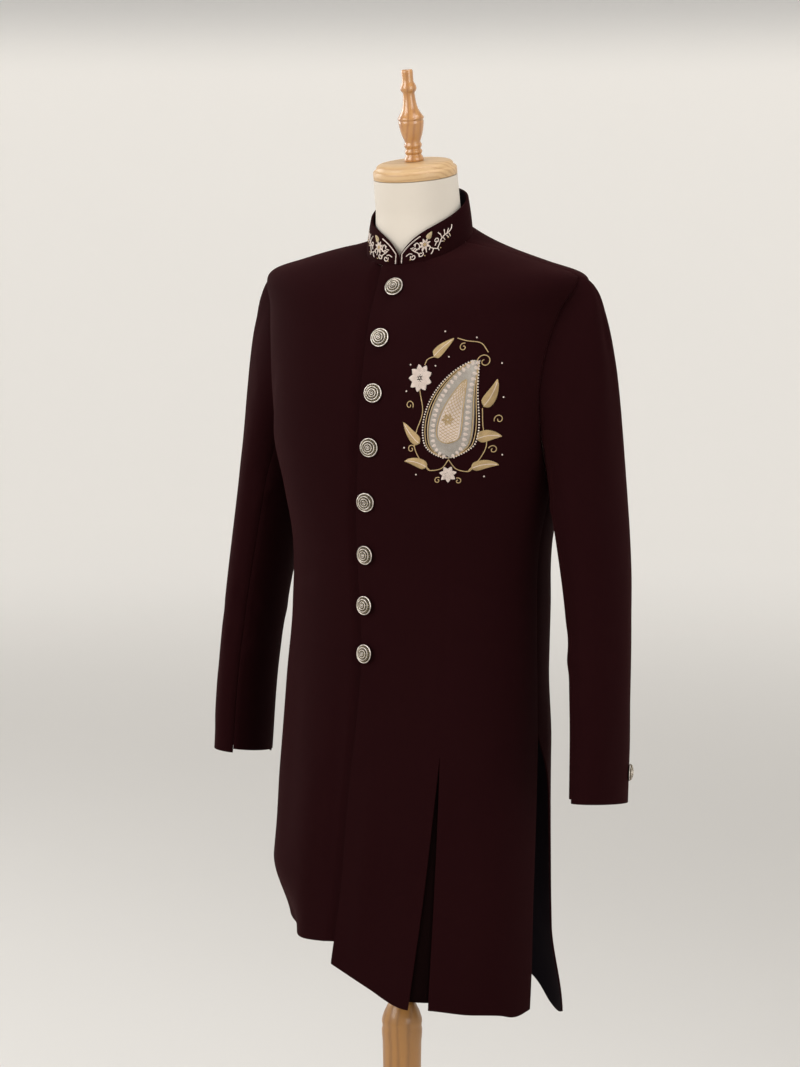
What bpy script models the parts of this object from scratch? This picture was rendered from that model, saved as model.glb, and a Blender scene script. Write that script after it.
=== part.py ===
"""A knee-length sherwani coat worn by a limbless dress form on a turned wooden stand.

Metres, +Z up. The coat faces -Y, the wearer's left is +X, and the origin is on the floor
under the pole. Cloth pieces are thin walls whose outer points lie on one body surface or on
the two sleeve surfaces, and what is sewn on a panel is made from that panel's points, moved out.
"""
import math

import bmesh
import bpy
import numpy as np
from mathutils import Matrix, Vector

# Thicknesses and clearances
CLOTH = 0.0022
COLLAR_CLOTH = 0.0030
SEAM = 0.0003
LIFT = 0.0005
SHOULDER_EASE = 0.0014
TIP_EASE = 0.0030
LAP_EASE = 0.0012

# Heights on the coat
SLIT_TOP = 0.850
PLEAT_TOP = 0.837
UNDERARM = 1.162
BODY_CENTRE_Y = 0.050
SHOULDER_TIP = 1.380
NECKLINE = 1.436

# The body surface. Each row is one closed section. Its height may differ at front, side and
# back, its plan is a rounded oval about centre_y, square tells how full its corners are, and
# tilt how its height runs round: 1 is a flat tilted ring, 2 dips more towards the front.
BODY = (
    ("level", "z_front", "z_side", "z_back", "half_width", "front", "back", "centre_y", "square", "tilt"), (
        (0.465, 0.465, 0.465, 0.465, 0.192, 0.141, 0.152, 0.005, 2.2, 2.0),
        (0.560, 0.560, 0.560, 0.560, 0.190, 0.137, 0.150, 0.008, 2.2, 2.0),
        (0.645, 0.645, 0.645, 0.645, 0.186, 0.131, 0.147, 0.011, 2.2, 2.0),
        (0.750, 0.750, 0.750, 0.750, 0.180, 0.130, 0.144, 0.020, 2.2, 2.0),
        (0.900, 0.900, 0.900, 0.900, 0.174, 0.129, 0.140, 0.034, 2.2, 2.0),
        (1.000, 1.000, 1.000, 1.000, 0.172, 0.1275, 0.136, 0.043, 2.2, 2.0),
        (1.090, 1.090, 1.090, 1.090, 0.174, 0.128, 0.130, 0.046, 2.2, 2.0),
        (1.150, 1.150, 1.150, 1.150, 0.185, 0.133, 0.126, 0.048, 2.3, 2.0),
        (1.216, 1.216, 1.216, 1.216, 0.198, 0.138, 0.123, 0.050, 2.4, 2.0),
        (1.282, 1.282, 1.297, 1.290, 0.203, 0.134, 0.120, 0.051, 2.5, 2.0),
        (1.348, 1.348, 1.382, 1.365, 0.211, 0.122, 0.112, 0.054, 2.5, 2.0),
        (1.380, 1.380, 1.424, 1.412, 0.218, 0.1125, 0.096, 0.057, 2.4, 2.0),
        (1.404, 1.404, 1.4405, 1.443, 0.170, 0.095, 0.084, 0.053, 2.3, 1.9),
        (1.423, 1.423, 1.455, 1.471, 0.115, 0.0805, 0.075, 0.049, 2.1, 1.5),
        (1.436, 1.436, 1.4645, 1.490, 0.067, 0.0665, 0.066, 0.042, 2.0, 1.0),
    ))

# The left front's lap edge, and the two sides of its pleat, as distances from the centre line
LAP_EDGE = (("level", "x"), (
    (0.568, -0.0265), (0.645, -0.0190), (0.785, -0.0120), (0.955, -0.0040), (1.055, -0.0130),
    (1.115, -0.0150), (1.190, -0.0100), (1.330, -0.0085), (1.436, -0.0140)))
PLEAT = (("level", "x_front", "x_back"), (
    (0.500, 0.0820, 0.1075), (0.580, 0.0890, 0.1080), (0.680, 0.0965, 0.1075),
    (0.770, 0.1015, 0.1065), (0.837, 0.1050, 0.1050)))
DART = (("level", "x"), (
    (0.837, 0.1050), (1.000, 0.1040), (1.150, 0.1060), (1.282, 0.1080), (1.380, 0.0900), (1.436, 0.0400)))
UNDERLAP_X = 0.035
LAP_STEP_START = 0.0160
LAP_STEP_END = 0.0030

# The hems, as heights across each panel
LEFT_HEM = (("x", "z"), (
    (-0.027, 0.565), (0.030, 0.5435), (0.083, 0.5225), (0.108, 0.5232), (0.146, 0.5182),
    (0.177, 0.5127), (0.189, 0.5070), (0.1935, 0.5120)))
RIGHT_HEM = (("x", "z"), ((-0.190, 0.603), (-0.130, 0.589), (0.000, 0.595), (0.040, 0.597)))
BACK_HEM = (("x", "z"), (
    (-0.190, 0.552), (0.000, 0.530), (0.090, 0.5165), (0.128, 0.4965), (0.150, 0.4765),
    (0.170, 0.4725), (0.186, 0.4820)))

# Where the side slits' edges run, as angles from the front, and how far their corners swing
SLIT = (("level", "front_edge", "back_edge"), (
    (0.470, 86.5, 112.0), (0.600, 90.0, 111.0), (0.700, 92.6, 108.0), (0.790, 93.8, 103.0), (0.850, 94.0, 94.0)))
SEAM_DRIFT = 4.0
CORNER_FLARE = 0.014
SLIT_STAND = 0.005
CORNER_CURL = 0.031

# Armholes, as angles taken out of the front and the back at mid height
ARMHOLE_FRONT = 14.0
ARMHOLE_BACK = 13.0
ARMHOLE_ROUND = 0.75
ARM_ROWS = 12

# The left sleeve below its head. Each row is one section, and the right sleeve mirrors it.
SLEEVE = (("level", "centre_x", "centre_y", "half_x", "half_y"), (
    (0.755, 0.2697, 0.0257, 0.0302, 0.0529),
    (0.780, 0.2690, 0.0275, 0.0305, 0.0530),
    (0.900, 0.2650, 0.0370, 0.0325, 0.0535),
    (1.000, 0.2565, 0.0480, 0.0355, 0.0560),
    (1.135, 0.2360, 0.0600, 0.0410, 0.0650),
    (1.200, 0.2250, 0.0620, 0.0430, 0.0680)))
BICEP = 1.135
CUFF_TOP_PIECE = 0.7885
CUFF_UNDER_PIECE = 0.7935
CUFF_DROP = 0.0180
CUFF_FRONT = 105.0
FORE_SEAM = 60.0
ELBOW_SEAM = 300.0
SLEEVE_SEAM_CLEAR = 0.25

# Collar
COLLAR_END_HEIGHT = 0.0100
COLLAR_RISE = 0.0310
COLLAR_CORNER = 0.0190
COLLAR_MEET_X = 0.0100
COLLAR_SEAT = 0.0009
COLLAR_TAPER = 0.14
NECK_LEAN = math.radians(9.0)

# Front buttons, top to bottom: height, distance from the centre line, and how many degrees
# each has swung on its shank towards the wearer's left
BUTTONS = (("z", "x", "turn"), (
    (1.408, 0.0148, 9.0), (1.348, 0.0122, 9.0), (1.282, 0.0117, 9.0), (1.216, 0.0090, 9.0),
    (1.1475, 0.0014, 7.0), (1.081, -0.0013, -6.0), (1.018, -0.0011, -8.0), (0.958, 0.0020, -9.0)))
BUTTON_RADIUS = 0.0120
BUTTON_HEIGHT = 0.0062
SWUNG_LIFT = 0.9
CUFF_BUTTON_RADIUS = 0.0112
CUFF_BUTTON_Z = 0.8148

# Dress form and stand
FORM_BOTTOM = 0.856
NECK_TOP = 1.5440
NECK_RADIUS = 0.0525
NECK_FOOT_Y = 0.0435
NECK_CLEAR = 0.0112
NECK_SINK = 0.0040
ROD_RADIUS = 0.0100
POLE_TOP = 0.4850

CAP_PROFILE = (("radius", "height"), (
    (0.0515, 0.0000), (0.0525, 0.0012), (0.0525, 0.0085), (0.0512, 0.0105), (0.0488, 0.0116),
    (0.0480, 0.0140), (0.0462, 0.0165), (0.0430, 0.0180), (0.0300, 0.0190)))
FINIAL_PROFILE = (("radius", "height"), (
    (0.0121, 0.0000), (0.0118, 0.0040), (0.0095, 0.0080), (0.0110, 0.0120), (0.0100, 0.0170),
    (0.0111, 0.0222), (0.0100, 0.0236), (0.0127, 0.0321), (0.0150, 0.0422), (0.0159, 0.0492),
    (0.0162, 0.0532), (0.0144, 0.0573), (0.0102, 0.0643), (0.0083, 0.0723), (0.0072, 0.0834),
    (0.0100, 0.0904), (0.0080, 0.0964), (0.0069, 0.0990), (0.0070, 0.1110), (0.0055, 0.1129)))
POLE_PROFILE = (("radius", "height"), (
    (0.0200, 0.0263), (0.0330, 0.0270), (0.0345, 0.0330), (0.0300, 0.0400), (0.0235, 0.0460),
    (0.0225, 0.0700), (0.0240, 0.2500), (0.0248, 0.4000), (0.0262, 0.4450), (0.0258, 0.4580),
    (0.0225, 0.4700), (0.0180, 0.4800), (0.0150, 0.4850)))
BASE_PROFILE = (("radius", "height"), (
    (0.2070, 0.0000), (0.2100, 0.0030), (0.2100, 0.0150), (0.2070, 0.0200), (0.1980, 0.0225), (0.0600, 0.0260)))
BUTTON_PROFILE = (("radius", "height"), (
    (0.92, 0.00), (1.00, 0.16), (0.97, 0.42), (0.78, 0.74), (0.42, 0.95)))

# Raised work. Chest leaves lie on the left front, in metres from CHEST_CENTRE: a spine from
# foot to tip by way of a middle point, and the half width. Collar work is placed by its
# distance from the collar's end and its height over the neckline.
CHEST_CENTRE = (0.112, 1.258)
CHEST_RELIEF = 0.0016
CHEST_LEAVES = (("name", "foot", "middle", "tip", "half_width"), (
    ("chest_paisley", (0.000, -0.050), (-0.006, 0.012), (0.030, 0.052), 0.0260),
    ("chest_leaf_1", (-0.026, -0.062), (-0.040, -0.054), (-0.056, -0.056), 0.0055),
    ("chest_leaf_2", (-0.036, -0.034), (-0.048, -0.026), (-0.058, -0.010), 0.0060),
    ("chest_leaf_3", (0.030, -0.028), (0.042, -0.022), (0.055, -0.026), 0.0060),
    ("chest_leaf_4", (0.026, -0.062), (0.040, -0.054), (0.054, -0.058), 0.0055),
    ("chest_leaf_5", (0.036, 0.006), (0.046, 0.016), (0.050, 0.032), 0.0060),
    ("chest_leaf_6", (-0.018, 0.062), (-0.010, 0.070), (0.006, 0.078), 0.0055)))
CHEST_FLOWERS = (("name", "u", "v", "radius"), (
    ("chest_flower_1", -0.036, 0.040, 0.0150),
    ("chest_flower_2", 0.000, -0.070, 0.0095)))
COLLAR_RELIEF = 0.0009
COLLAR_BORDER_INSET = 0.0040
COLLAR_BORDER_HALF_WIDTH = 0.0011
COLLAR_FLOWER = (0.0330, 0.0185, 0.0062)

# Colours
WINE = (0.0190, 0.0055, 0.0062)
SILVER = (0.45, 0.43, 0.38)
GOLD_THREAD = (0.52, 0.40, 0.24)
CREAM_THREAD = (0.74, 0.64, 0.56)
FORM_CREAM = (0.76, 0.67, 0.56)
PALE_PINE = (0.68, 0.45, 0.23)
ORANGE_WOOD = (0.50, 0.26, 0.10)
GOLDEN_WOOD = (0.45, 0.26, 0.09)


def clear_scene():
    for thing in list(bpy.data.objects):
        bpy.data.objects.remove(thing, do_unlink=True)


def curve(table, name, at):
    """A smooth curve through one named column of a table, read against its first column."""
    columns, rows = table
    x = np.array([row[0] for row in rows])
    y = np.array([row[columns.index(name)] for row in rows])
    slope = np.gradient(y, x)
    at = np.clip(np.asarray(at, float), x[0], x[-1])
    i = np.clip(np.searchsorted(x, at, side="right") - 1, 0, len(x) - 2)
    width = x[i + 1] - x[i]
    t = (at - x[i]) / width
    start = (2 * t**3 - 3 * t**2 + 1) * y[i] + (t**3 - 2 * t**2 + t) * width * slope[i]
    return start + (3 * t**2 - 2 * t**3) * y[i + 1] + (t**3 - t**2) * width * slope[i + 1]


def ease(t):
    """0 below 0, 1 above 1 and a smooth step between."""
    t = np.clip(t, 0, 1)
    return t * t * (3 - 2 * t)


def unit(vectors):
    return vectors / np.linalg.norm(vectors, axis=-1, keepdims=True)


def skirt_swing(theta, level):
    """How far the skirt's corners stand off the plain section: the left back corner
    flares out at its slit, and the right front corner curls in."""
    out = CORNER_FLARE * ease((0.595 - level) / 0.115) + SLIT_STAND * ease((0.930 - level) / 0.100)
    flare = out * ease((theta - 92) / 12) * ease((150 - theta) / 40)
    curl = CORNER_CURL * ease((0.672 - level) / 0.095) * ease((-theta - 28) / 32) * ease((theta + 125) / 20)
    return flare - curl


def body_surface(theta, level):
    """Points of the body surface. theta is in degrees from the front, positive to the left."""
    theta = np.asarray(theta, float)
    level = np.asarray(level, float)
    theta, level = np.broadcast_arrays(theta, level)
    size = {name: curve(BODY, name, level) for name in BODY[0][1:]}
    across = np.sin(np.radians(theta))
    ahead = np.cos(np.radians(theta))
    depth = np.where(ahead > 0, size["front"], size["back"])
    square = size["square"]
    reach = ((np.abs(across) / size["half_width"]) ** square + (np.abs(ahead) / depth) ** square) ** (-1 / square)
    turned = (theta + 180) % 360 - 180
    reach = reach + skirt_swing(turned, level)
    z_end = np.where(ahead > 0, size["z_front"], size["z_back"])
    z = size["z_side"] + (z_end - size["z_side"]) * np.abs(ahead) ** size["tilt"]
    return np.stack((reach * across, size["centre_y"] - reach * ahead, z), axis=-1)


def body_normal(theta, level):
    theta = np.asarray(theta, float)
    level = np.asarray(level, float)
    across = body_surface(theta + 0.3, level) - body_surface(theta - 0.3, level)
    upward = body_surface(theta, level + 0.0006) - body_surface(theta, level - 0.0006)
    return unit(np.cross(across, upward))


def theta_at(x, level):
    """The angle of the point on the front that lies x from the centre line."""
    half_width = curve(BODY, "half_width", level)
    front = curve(BODY, "front", level)
    square = curve(BODY, "square", level)
    reach = np.clip(np.abs(x) / half_width, 0, 0.999)
    depth = front * (1 - reach**square) ** (1 / square)
    return np.degrees(np.arctan2(x, depth))


def seam_angle(level):
    """Half the seam's clearance, as an angle at the side of the section."""
    return np.degrees(0.5 * SEAM / curve(BODY, "half_width", level)) * 1.3


def side_seam(level):
    """The side seam's angle: it drifts back on its way down to the slit."""
    return 90.0 + SEAM_DRIFT * ease((1.050 - level) / 0.200)


def armhole_share(level):
    return np.clip((level - UNDERARM) / (SHOULDER_TIP - UNDERARM), 0, 1)


def front_side_edge(level):
    """The left front's outer edge: slit, side seam, armhole, then shoulder seam."""
    bulge = ARMHOLE_FRONT * np.sin(np.pi * armhole_share(level)) ** ARMHOLE_ROUND
    slit = np.where(level < SLIT_TOP, curve(SLIT, "front_edge", level), side_seam(level))
    return slit - bulge - seam_angle(level)


def back_side_edge(level):
    bulge = ARMHOLE_BACK * np.sin(np.pi * armhole_share(level)) ** ARMHOLE_ROUND
    slit = np.where(level < SLIT_TOP, curve(SLIT, "back_edge", level), side_seam(level))
    return slit + bulge + seam_angle(level)


def lap_edge(level):
    return theta_at(curve(LAP_EDGE, "x", level), level)


def pleat_line(level, side):
    """One side of the pleat. Above its top both sides run together up the dart line."""
    below = curve(PLEAT, side, level)
    above = curve(DART, "x", level)
    return theta_at(np.where(level < PLEAT_TOP, below, above), level)


def spaced(start, end, count):
    return np.linspace(start, end, count)


def row_levels(lowest):
    """Levels of a panel's rows, from its own hem up to the neckline. Every column has its
    own lowest value, and all columns share the rows from the pleat's top upwards."""
    lowest = np.asarray(lowest, float)
    share = spaced(0, 1, 7)[:-1, None]
    skirt = lowest + (PLEAT_TOP - lowest) * share
    waist = spaced(PLEAT_TOP, UNDERARM, 9)[:-1]
    arm = UNDERARM + (SHOULDER_TIP - UNDERARM) * (0.5 - 0.5 * np.cos(np.pi * spaced(0, 1, ARM_ROWS + 1)))[:-1]
    shoulder = spaced(SHOULDER_TIP, NECKLINE, 6)
    shared = np.concatenate((waist, arm, shoulder))[:, None] + 0 * lowest
    return np.concatenate((skirt, shared))


def panel(edges, counts, hem, sink=None):
    """Outer points and inward wall vectors of a panel whose columns run evenly from each
    edge to the next, with a count of strips for each stretch."""
    def angles(level):
        stretches = [edges[0](level)]
        for start, end, count in zip(edges, edges[1:], counts):
            for strip in range(1, count + 1):
                share = strip / count
                stretches.append(start(level) * (1 - share) + end(level) * share)
        return np.stack(stretches, axis=-1)
    at_hem = angles(np.array(0.54))
    lowest = curve(hem, "z", body_surface(at_hem, 0.54)[:, 0])
    level = row_levels(lowest)
    theta = np.stack([angles(level[:, i])[:, i] for i in range(level.shape[1])], axis=-1)
    normal = body_normal(theta, level)
    outer = body_surface(theta, level)
    if sink is not None:
        outer = outer - sink(theta, level)[..., None] * normal
    return outer, -CLOTH * normal


def add_sheet(bm, outer, inward):
    """Add a grid of faces to a mesh, keeping each vertex's wall vector beside it."""
    layer = bm.verts.layers.float_vector.get("inward") or bm.verts.layers.float_vector.new("inward")
    grid = []
    for point_row, wall_row in zip(outer, inward):
        row = []
        for point, wall in zip(point_row, wall_row):
            vert = bm.verts.new(point)
            vert[layer] = Vector(wall)
            row.append(vert)
        grid.append(row)
    for below, above in zip(grid, grid[1:]):
        for i in range(len(below) - 1):
            bm.faces.new((below[i], below[i + 1], above[i + 1], above[i]))


def give_wall(bm):
    """Thicken an open sheet: extrude it and move the new skin along the stored vectors."""
    bmesh.ops.remove_doubles(bm, verts=bm.verts, dist=0.00002)
    layer = bm.verts.layers.float_vector.get("inward")
    extruded = bmesh.ops.extrude_face_region(bm, geom=bm.faces[:], use_keep_orig=True)
    for item in extruded["geom"]:
        if isinstance(item, bmesh.types.BMVert):
            item.co += item[layer]
    bmesh.ops.recalc_face_normals(bm, faces=bm.faces)


def material(name, colour, roughness, metallic=0.0):
    made = bpy.data.materials.get(name)
    if made is None:
        made = bpy.data.materials.new(name)
        made.use_nodes = True
        shader = made.node_tree.nodes["Principled BSDF"]
        shader.inputs["Base Color"].default_value = (*colour, 1.0)
        shader.inputs["Roughness"].default_value = roughness
        shader.inputs["Metallic"].default_value = metallic
    return made


def finish(name, bm, finish_material, smooth_angle=40.0):
    mesh = bpy.data.meshes.new(name)
    bm.to_mesh(mesh)
    bm.free()
    mesh.shade_smooth()
    mesh.set_sharp_from_angle(angle=math.radians(smooth_angle))
    thing = bpy.data.objects.new(name, mesh)
    bpy.context.collection.objects.link(thing)
    thing.data.materials.append(finish_material)
    return thing


def coat_cloth():
    return material("wine_suiting", WINE, 0.85)


def cloth_piece(name, sheets, finish_material=None):
    bm = bmesh.new()
    for outer, inward in sheets:
        add_sheet(bm, outer, inward)
    give_wall(bm)
    return finish(name, bm, finish_material or coat_cloth())


def mirrored(name, source):
    """A copy of a piece on the other side of the centre plane."""
    bm = bmesh.new()
    bm.from_mesh(source.data)
    bm.transform(Matrix.Scale(-1, 4, (1, 0, 0)))
    bmesh.ops.reverse_faces(bm, faces=bm.faces)
    return finish(name, bm, source.data.materials[0])


def front_left():
    ahead = panel((lap_edge, lambda level: pleat_line(level, "x_front")), (4,), LEFT_HEM)
    beside = panel((lambda level: pleat_line(level, "x_back"), front_side_edge), (5,), LEFT_HEM)
    cloth_piece("front_left", (ahead, beside))


def under_lap(theta, level):
    """The right front sinks under the left front from just outside the lap edge."""
    reach = np.radians(theta - lap_edge(level)) * curve(BODY, "front", level)
    return (CLOTH + LAP_EASE) * ease((reach + LAP_STEP_START) / (LAP_STEP_START - LAP_STEP_END))


def beside_lap(level, distance):
    """The angle that lies a distance outside the left front's lap edge."""
    return lap_edge(level) - np.degrees(distance / curve(BODY, "front", level))


def front_right():
    underlap = lambda level: theta_at(np.minimum(UNDERLAP_X, 0.8 * curve(BODY, "half_width", level)), level)
    edges = (lambda level: -front_side_edge(level), lambda level: beside_lap(level, LAP_STEP_START),
             lambda level: beside_lap(level, LAP_STEP_END), underlap)
    sheet = panel(edges, (7, 1, 2), RIGHT_HEM, under_lap)
    cloth_piece("front_right", (sheet,))


def pleat_underlay():
    """The strip behind the open pleat, hung from just above the pleat's top."""
    level = spaced(0.532, PLEAT_TOP + 0.018, 9)[:, None]
    middle = 0.5 * (curve(PLEAT, "x_front", level) + curve(PLEAT, "x_back", level))
    theta = theta_at(middle + spaced(-0.026, 0.026, 5), level)
    level = level + 0 * theta
    normal = body_normal(theta, level)
    outer = body_surface(theta, level) - (CLOTH + LAP_EASE) * normal
    cloth_piece("pleat_underlay_left", ((outer, -CLOTH * normal),))


def backs():
    centre = lambda level: 180 - np.degrees(0.5 * SEAM / curve(BODY, "back", level)) * 1.3
    cloth_piece("back_left", (panel((back_side_edge, centre), (8,), BACK_HEM),))
    right_centre = lambda level: -centre(level)
    right_side = lambda level: -back_side_edge(level)
    cloth_piece("back_right", (panel((right_centre, right_side), (8,), BACK_HEM),))


def armhole_loop(turn):
    """The armhole seam as a loop. turn is 0 at the underarm, 90 ahead, 180 on the shoulder."""
    turn = np.asarray(turn, float) % 360
    share = 0.5 - 0.5 * np.cos(np.radians(turn))
    level = UNDERARM + (SHOULDER_TIP - UNDERARM) * share
    bulge = np.sin(np.pi * share) ** ARMHOLE_ROUND
    theta = np.where(turn <= 180, 90 - ARMHOLE_FRONT * bulge, 90 + ARMHOLE_BACK * bulge)
    return body_surface(theta, level)


def sleeve_section(turn, level):
    turn = np.radians(turn)
    x = curve(SLEEVE, "centre_x", level) - curve(SLEEVE, "half_x", level) * np.cos(turn)
    y = curve(SLEEVE, "centre_y", level) - curve(SLEEVE, "half_y", level) * np.sin(turn)
    return np.stack((x, y, level + 0 * x), axis=-1)


def cuff_level(turn, cuff):
    """The height of a cuff's rim, which hangs lower behind than in front."""
    return cuff - CUFF_DROP * (0.5 - 0.5 * np.cos(np.radians(turn - CUFF_FRONT)))


def sleeve_surface(turn, along, cuff):
    """Points of the left sleeve: along is 0 at the armhole, 1 at the bicep and 2 at the cuff."""
    turn, along = np.broadcast_arrays(np.asarray(turn, float), np.asarray(along, float))
    head = np.clip(along, 0, 1)[..., None]
    start = armhole_loop(turn)
    end = sleeve_section(turn, BICEP + 0 * turn)
    length = np.linalg.norm(end - start, axis=-1, keepdims=True)
    high = 0.5 - 0.5 * np.cos(np.radians(turn))
    outward = unit(np.stack((0.30 + 0.70 * high, 0 * high, -1.0 + 1.12 * high), axis=-1))
    down = unit(sleeve_section(turn, BICEP - 0.02 + 0 * turn) - end)
    start = start + SEAM * 1.5 * outward
    swell = (0.25 + 0.25 * high)[..., None] * length
    cap = (2 * head**3 - 3 * head**2 + 1) * start + (head**3 - 2 * head**2 + head) * swell * outward
    cap = cap + (3 * head**2 - 2 * head**3) * end + (head**3 - head**2) * 0.9 * length * down
    lower = sleeve_section(turn, BICEP + (cuff_level(turn, cuff) - BICEP) * np.clip(along - 1, 0, 1))
    return np.where((along < 1)[..., None], cap, lower)


def sleeve_normal(turn, along, cuff):
    turn, along = np.broadcast_arrays(np.asarray(turn, float), np.asarray(along, float))
    around = sleeve_surface(turn + 1.0, along, cuff) - sleeve_surface(turn - 1.0, along, cuff)
    ahead = np.minimum(along + 0.01, 2.0)
    behind = np.maximum(along - 0.01, 0.0)
    lengthwise = sleeve_surface(turn, ahead, cuff) - sleeve_surface(turn, behind, cuff)
    return unit(np.cross(lengthwise, around))


def sleeve_piece(name, first, last, columns, cuff):
    turn = spaced(first, last, columns)
    turn[0] += SLEEVE_SEAM_CLEAR
    turn[-1] -= SLEEVE_SEAM_CLEAR
    along = np.concatenate((spaced(0, 1, 7) ** 1.15, spaced(1, 2, 7)[1:]))[::-1, None]
    outer = sleeve_surface(turn, along, cuff)
    return cloth_piece(name, ((outer, -CLOTH * sleeve_normal(turn, along, cuff)),))


def sleeves():
    top = sleeve_piece("sleeve_left_top", FORE_SEAM, ELBOW_SEAM, 17, CUFF_TOP_PIECE)
    under = sleeve_piece("sleeve_left_under", ELBOW_SEAM - 360, FORE_SEAM, 9, CUFF_UNDER_PIECE)
    mirrored("sleeve_right_top", top)
    mirrored("sleeve_right_under", under)


def collar_surface(theta, share):
    """Points of the stand collar: share is 0 on the neckline and 1 along its top edge."""
    theta, share = np.broadcast_arrays(np.asarray(theta, float), np.asarray(share, float))
    base = body_surface(theta, NECKLINE + 0 * theta)
    meet = theta_at(COLLAR_MEET_X, NECKLINE)
    from_end = np.minimum(theta - meet, meet + 360 - theta)
    distance = np.radians(from_end) * curve(BODY, "front", NECKLINE)
    height = COLLAR_END_HEIGHT + COLLAR_RISE * (1 - np.exp(-distance / COLLAR_CORNER))
    radial = np.stack((np.sin(np.radians(theta)), -np.cos(np.radians(theta)), 0 * theta), axis=-1)
    rise = (height * share)[..., None]
    return base + (COLLAR_SEAT + rise) * np.array((0, 0, 1)) - COLLAR_TAPER * rise * radial


def collar_normal(theta, share):
    around = collar_surface(theta + 0.5, share) - collar_surface(theta - 0.5, share)
    theta_b, share_b = np.broadcast_arrays(np.asarray(theta, float), np.asarray(share, float))
    upward = collar_surface(theta_b, share_b + 0.05) - collar_surface(theta_b, share_b - 0.05)
    return unit(np.cross(around, upward))


def collar():
    meet = float(theta_at(COLLAR_MEET_X, NECKLINE))
    clear = 0.35
    near_end = np.array((0.0, 1.2, 3.5, 7.0, 12.0, 19.0))
    middle = spaced(30, 330, 21)
    turns = np.concatenate((near_end, middle, 360 - near_end[::-1])) * (360 - 2 * clear) / 360 + meet + clear
    share = spaced(0, 1, 5)[:, None]
    outer = collar_surface(turns, share)
    radial = collar_normal(turns, share)
    cloth_piece("collar", ((outer, -COLLAR_CLOTH * radial),))


def turned(name, profile, place, finish_material, segments=20, axis=(0, 0, 1)):
    """Spin a profile of radii and heights about +Z and set it in place."""
    bm = bmesh.new()
    rows = profile[1]
    points = [(0.0, rows[0][1])] + list(rows) + [(0.0, rows[-1][1])]
    verts = [bm.verts.new((radius, 0, height)) for radius, height in points]
    edges = [bm.edges.new(pair) for pair in zip(verts, verts[1:])]
    bmesh.ops.spin(bm, geom=verts + edges, cent=(0, 0, 0), axis=(0, 0, 1), angle=2 * math.pi,
                   steps=segments, use_merge=True)
    bmesh.ops.remove_doubles(bm, verts=bm.verts, dist=0.00002)
    bmesh.ops.recalc_face_normals(bm, faces=bm.faces)
    turn = Vector((0, 0, 1)).rotation_difference(Vector(axis)).to_matrix().to_4x4()
    bm.transform(Matrix.Translation(Vector(place)) @ turn)
    return finish(name, bm, finish_material, 35.0)


def button_profile(radius, height):
    return BUTTON_PROFILE[0], tuple((radius * r, height * h) for r, h in BUTTON_PROFILE[1])


def buttons():
    metal = material("button_metal", SILVER, 0.35, 1.0)
    profile = button_profile(BUTTON_RADIUS, BUTTON_HEIGHT)
    for number, (z, x, swing) in enumerate(BUTTONS[1], 1):
        theta = theta_at(x, z)
        normal = body_normal(theta, z)
        swung = math.radians(swing)
        place = body_surface(theta, z) + (LIFT + SWUNG_LIFT * BUTTON_RADIUS * math.sin(abs(swung))) * normal
        facing = Matrix.Rotation(swung, 3, "Z") @ Vector(normal)
        turned(f"button_{number}", profile, place, metal, 12, facing)
    turn = 180 + 32
    along = 1 + (BICEP - CUFF_BUTTON_Z) / (BICEP - cuff_level(turn, CUFF_TOP_PIECE))
    normal = sleeve_normal(turn, along, CUFF_TOP_PIECE)
    place = sleeve_surface(turn, along, CUFF_TOP_PIECE) + LIFT * normal
    profile = button_profile(CUFF_BUTTON_RADIUS, 0.8 * BUTTON_HEIGHT)
    left = turned("cuff_button_left", profile, place, metal, 12, normal)
    mirrored("cuff_button_right", left)


def on_chest(u, v, lift):
    """Points over the left front, u across and v up from the centre of the chest work."""
    level = CHEST_CENTRE[1] + np.asarray(v, float)
    middle = theta_at(CHEST_CENTRE[0], CHEST_CENTRE[1])
    radius = np.linalg.norm(body_surface(middle, CHEST_CENTRE[1])[:2] - (0, BODY_CENTRE_Y))
    theta = middle + np.degrees(np.asarray(u, float) / radius)
    return body_surface(theta, level) + np.asarray(lift)[..., None] * body_normal(theta, level)


def raised_sheet(name, top, bottom, finish_material):
    """A closed raised piece between a grid of top points and the points under them."""
    return cloth_piece(name, ((top, bottom - top),), finish_material)


def leaf(name, foot, middle, tip, half_width, finish_material):
    """A plump leaf along a bent spine, blunt at its foot and drawn to a point."""
    t = spaced(0, 1, 7)[:, None]
    foot, middle, tip = (np.array(point) for point in (foot, middle, tip))
    spine = (1 - t) ** 2 * foot + 2 * t * (1 - t) * middle + t**2 * tip
    along = unit(np.gradient(spine, axis=0))
    side = np.stack((-along[:, 1], along[:, 0]), axis=-1)
    width = half_width * (np.sin(np.pi * np.clip(0.06 + 0.93 * t, 0, 1) ** 0.62) ** 0.8 + 0.04)
    share = spaced(-1, 1, 4)
    u = spine[:, :1] - share * width * side[:, :1]
    v = spine[:, 1:] - share * width * side[:, 1:]
    crown = CHEST_RELIEF * (1 - 0.55 * share**2) + 0 * u
    raised_sheet(name, on_chest(u, v, crown + LIFT), on_chest(u, v, LIFT + 0 * u), finish_material)


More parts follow.
